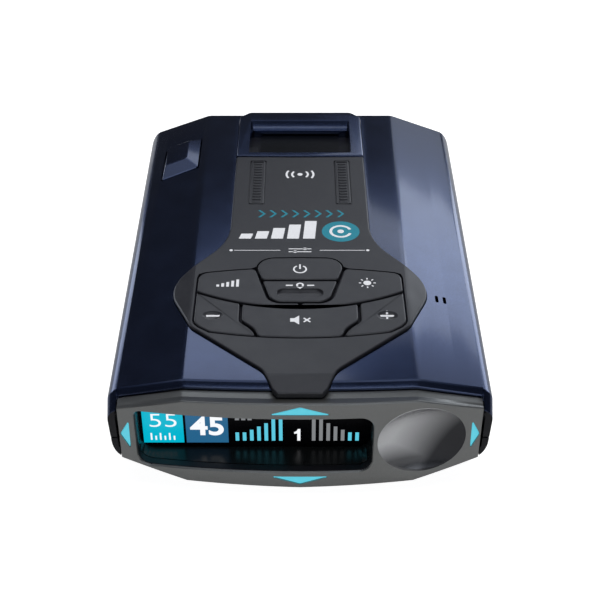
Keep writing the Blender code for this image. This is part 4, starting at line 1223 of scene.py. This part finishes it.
def make_display(m):
    tile_base, tile_top = 8.8, WINDOW[3] + 0.4
    lit("speed_tile", [bar(-37.6, -27.9, tile_base, tile_top)], m["lit_cyan"])
    lit("limit_tile", [bar(-27.3, -17.2, tile_base, tile_top)], m["lit_blue"])
    digits("speed_numerals", "55", (-32.6, 15.75), 4.4, m["lit_white"], -0.06, 1.22)
    digits("limit_numerals", "45", (-22.05, 13.85), 5.8, m["lit_white"], 0.2, 1.03)
    ticks = [bar(-35.9 + 1.1 * i, -35.5 + 1.1 * i, 9.7, 11.0 if i % 2 else 11.9) for i in range(6)]
    lit("speed_scale", ticks, m["lit_white"], 0.08)
    base, pitch, wide = 9.4, 1.74, 0.87
    rising = [2.65, 2.65, 3.5, 4.55, 5.6, 7.0, 9.0]
    left, right = [
        [bar(x + pitch * i, x + wide + pitch * i, base, base + tall) for i, tall in enumerate(heights)]
        for x, heights in ((-15.5, rising), (2.85, rising[::-1]))
    ]
    lit("left_bars", left, m["lit_bar"])
    lit("right_grey_bars", right[:5], m["lit_grey"])
    lit("right_cyan_bars", right[5:], m["lit_bar"])
    lit("channel_numeral", [[
        (-0.66, base), (0.09, base), (0.09, 13.15), (-0.5, 13.15), (-0.85, 12.45), (-1.4, 12.15),
        (-1.4, 11.6), (-0.66, 11.75),
    ]], m["lit_white"])
    blocks = [bar(-15.5 + 1.5 * i, -14.5 + 1.5 * i, 16.0, 17.6) for i in range(3)]
    lit("status_blocks", blocks, m["lit_grey"])


# ---- dock and release ----
def dock_outline(grow=0.0):
    g = grow
    corners = [
        (-COLUMN - g, COLUMN_REAR + 0.6 - g), (COLUMN + g, COLUMN_REAR + 0.6 - g), (COLUMN + g, 65.5),
        (15.8 + g, HALF_LENGTH + 4 * g), (-15.8 - g, HALF_LENGTH + 4 * g), (-COLUMN - g, 65.5),
    ]
    return soften(corners, [0.4, 0.4, 0.8, 0.8, 0.8, 0.8])


def make_dock(m):
    dock = plate("dock_skin", dock_outline(), DOCK_FLOOR - 1.2, DOCK_TOP, 0.4, m["navy"])
    x0, x1, y0, y1 = DOCK_SLOT
    slot = prism("slot", rectangle(x0, x1, y0, y1, 0.8), DOCK_FLOOR, TOP + 5)
    levels = [
        (0.0, TOP - 1.8), (0.06, TOP - 1.67), (1.28, DOCK_TOP - 0.08), (1.45, DOCK_TOP + 0.06),
        (1.5, DOCK_TOP + 0.4),
    ]
    flare_out = loft("flare", [
        [(x, y, z) for x, y in rectangle(x0 - e / 4, x1 + e / 4, y0 - e / 3, y1 + 1.2 * e, 0.4)]
        for e, z in levels
    ])
    _, _, y0, y1, _, _ = box_mm("release_latch")
    tooth = box("tooth_window", (-25, 48.2, 26.2), (-13, 52.0, 28.0))
    rails = [
        box("rail", (-30.0, y, 21.0), (-17.4, y + 1.0, DOCK_FLOOR - 0.5))
        for y in (y0 - GAP - 1.0, y1 + GAP)
    ]
    join(dock, *rails)
    cut(dock, slot, flare_out, tooth)

    def on_floor(place, normal):
        return normal.z > 0.9 and abs(place.z - DOCK_FLOOR) < 0.1

    # the slot's floor is bare black plastic
    paint_faces(dock, m["case"], on_floor)
    fit(dock, "casing", "navy_paint", "mount_dock")


def release_outline(grow=0.0):
    g = grow
    corners = [(-40.6 - g, 32.9 - g), (-30.2 + g, 36.4 - g), (-30.2 + g, 53.2 + g), (-40.6 - g, 49.7 + g)]
    return soften(corners, [0.5] * 4)


def make_release_button(m):
    outline = release_outline()
    top = soften([(-39.9, 38.0), (-33.7, 39.9), (-33.7, 50.4), (-39.9, 48.4)], [0.5] * 4)
    middle = [(a[0] * 0.07 + b[0] * 0.93, a[1] * 0.07 + b[1] * 0.93) for a, b in zip(outline, top)]
    cx, cy = -36.8, 44.2
    inner = [(cx + (x - cx) * 0.93, cy + (y - cy) * 0.95) for x, y in top]
    levels = [
        (outline, -1.2), (outline, 0.1), (inset(outline, 0.12), 0.35),
        (middle, 1.86), (top, 1.97), (inner, 2.0),
    ]
    rings = [[(x, y, lid_over(x, y) + z) for x, y in ring] for ring, z in levels]
    button = loft("release_button_cap", rings, m["navy"])
    z0, z1 = edge_of("release_button", 0, Z), TOP - 3.7
    # the stem slants, so that a press draws the latch sideways
    stem = loft("stem", [
        [(x - z, y, z) for x, y in rectangle(-13, -10, 46.6, 49.6)] for z in (z0, z1)
    ])
    join(button, stem)
    fit(button, "button", "navy_paint", "release_button")


def make_release_spring(m):
    """The button's coil spring, finer than its CAD solid, riding on the casing."""
    low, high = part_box("release_spring")
    centre_x, centre_y = (low.x + high.x) / 2 / MM, (low.y + high.y) / 2 / MM
    wire, turns, sides, steps = 0.21, 4, 10, 24
    radius = (high.x - low.x) / 2 / MM - 0.23
    z0, z1 = low.z / MM + wire, high.z / MM - wire
    rings = []
    for i in range(steps * turns + 1):
        angle = tau * i / steps
        z = z0 + (z1 - z0) * i / (steps * turns)
        rings.append([
            (centre_x + (radius + out) * cos(angle), centre_y + (radius + out) * sin(angle), z + up)
            for out, up in disc((0, 0), wire, sides)
        ])
    spring = loft("release_spring_coil", rings, m["metal"])
    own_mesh(spring)
    fit(spring, "casing", "bare_metal", "release_spring")


# ---- CAD nodes that keep their shape ----
KEPT = {
    "case": [
        "port_panel", "power_jack", "earphone_jack", "processor", "supply_capacitor", "speaker",
        "release_latch",
    ],
    "metal": [
        "usb_port", "rf_shield", "bluetooth_module", "microphone", "dock_magnet_left",
        "dock_magnet_right", *[f"board_screw_{i}" for i in range(1, 5)],
    ],
    "board": ["display_board", "main_board", "key_board", "laser_sensor"],
    "steel": ["dock_plate", *[f"case_screw_{i}" for i in range(1, 5)]],
    "cast": ["front_radar_horn", "rear_radar_horn"],
    "rubber": ["key_mat", "speaker_gasket"],
    "gloss": ["display_hood"],
    "screen": ["display_panel"],
    "film": ["display_ribbon"],
    "ceramic": ["gps_antenna"],
    "infrared": ["laser_lens"],
}


def paint_kept_nodes(m):
    for finish, nodes in KEPT.items():
        for node in nodes:
            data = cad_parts[node].data
            data.materials.clear()
            data.materials.append(m[finish])


# ---- studio ----
def softbox(name, azimuth, elevation, width, height, radiance, colour=(1, 1, 1), distance=1.6):
    """A rectangular light facing the object, with its place and size in degrees.

    Azimuth 0 is over the road side, and 90 is to the right.
    """
    a, e = radians(azimuth), radians(elevation)
    direction = Vector((sin(a) * cos(e), cos(a) * cos(e), sin(e)))
    light = bpy.data.lights.new(name, "AREA")
    light.shape = "RECTANGLE"
    light.size = 2 * distance * tan(radians(width / 2))
    light.size_y = 2 * distance * tan(radians(height / 2))
    light.energy = radiance * pi * light.size * light.size_y
    light.color = colour
    made = link(bpy.data.objects.new(name, light))
    made.location = direction * distance
    made.rotation_euler = direction.to_track_quat("Z", "Y").to_euler()
    return made


# azimuth, elevation, width, height and radiance
PANELS = {
    "high_left_panel": (-8.8, 44, 17, 14, 1.25),
    "right_flat_panel": (12, 33, 16, 6, 1.2),
    "right_facet_panel": (26, 27, 16, 14, 1.4),
    "right_facet_wide": (28, 26, 34, 34, 0.4),
    "overhead_panel": (0, 86, 60, 60, 0.4),
    "left_edge_panel": (-50, 10, 34, 18, 1.6),
    "right_edge_panel": (46, 9, 34, 18, 1.9),
    "front_panel": (169, 18, 44, 26, 0.75),
    "front_high_panel": (180, 41, 30, 5, 1.3),
}


def make_lights():
    for name, panel in PANELS.items():
        softbox(name, *panel, colour=(0.86, 0.92, 1.0))
    fill = softbox("overhead_fill", 90, 84, 24, 24, 12.0)
    fill.visible_glossy = False


def make_floor():
    """A glowing white floor, which the object mirrors as a much dimmer one."""
    finish = Surface("studio_floor", (0.4, 0.4, 0.4), 0.6, wear=((0.02,), 0.55, 0.65))
    finish.glow((1, 1, 1), 1.0)
    mirrored_ray = finish.node("ShaderNodeLightPath").outputs["Is Glossy Ray"]
    strength = finish.ramp(mirrored_ray, 0.0, 1.0, 0.95, 0.02)
    finish.feed("Emission Strength", strength)
    half = 2500
    mesh = bmesh.new()
    mesh.faces.new([mesh.verts.new((x, y, 0)) for x, y in rectangle(-half, half, -half, half)])
    solid("studio_floor", mesh, finish.material)


def make_world():
    """A backdrop that is pale behind the object, and dark to whatever the object mirrors."""
    world = bpy.data.worlds.new("studio")
    world.use_nodes = True
    tree = world.node_tree
    rays = tree.nodes.new("ShaderNodeLightPath")
    colour = colour_mix(tree, rays.outputs["Is Camera Ray"], (0.03, 0.033, 0.042), (0.95, 0.95, 0.95))
    tree.links.new(colour, tree.nodes["Background"].inputs["Color"])
    bpy.context.scene.world = world


def make_camera():
    """The photograph's viewing angle: 36.4 degrees down, along +Y, with a mild telephoto."""
    back, rise, dip = 272.22, 178.47, 36.41
    camera = bpy.data.cameras.new("camera")
    camera.lens = 72.0
    camera.sensor_width = 36.0
    camera.clip_start = 0.01
    made = link(bpy.data.objects.new("camera", camera))
    made.location = (0, -back * MM, (TOP + rise) * MM)
    made.rotation_euler = (radians(90 - dip), 0, 0)
    bpy.context.scene.camera = made


def main():
    make_camera()
    surfaces = make_surfaces()
    for make in (
        make_upper_shell, make_lower_shell, make_bezel, make_arrow_lights, make_console, make_rib_strips,
        make_keys, make_key_marks, make_console_marks, make_display, make_dock, make_release_button,
        make_release_spring, paint_kept_nodes,
    ):
        make(surfaces)
    make_floor()
    make_world()
    make_lights()
    bpy.context.scene.view_settings.view_transform = "Standard"


main()
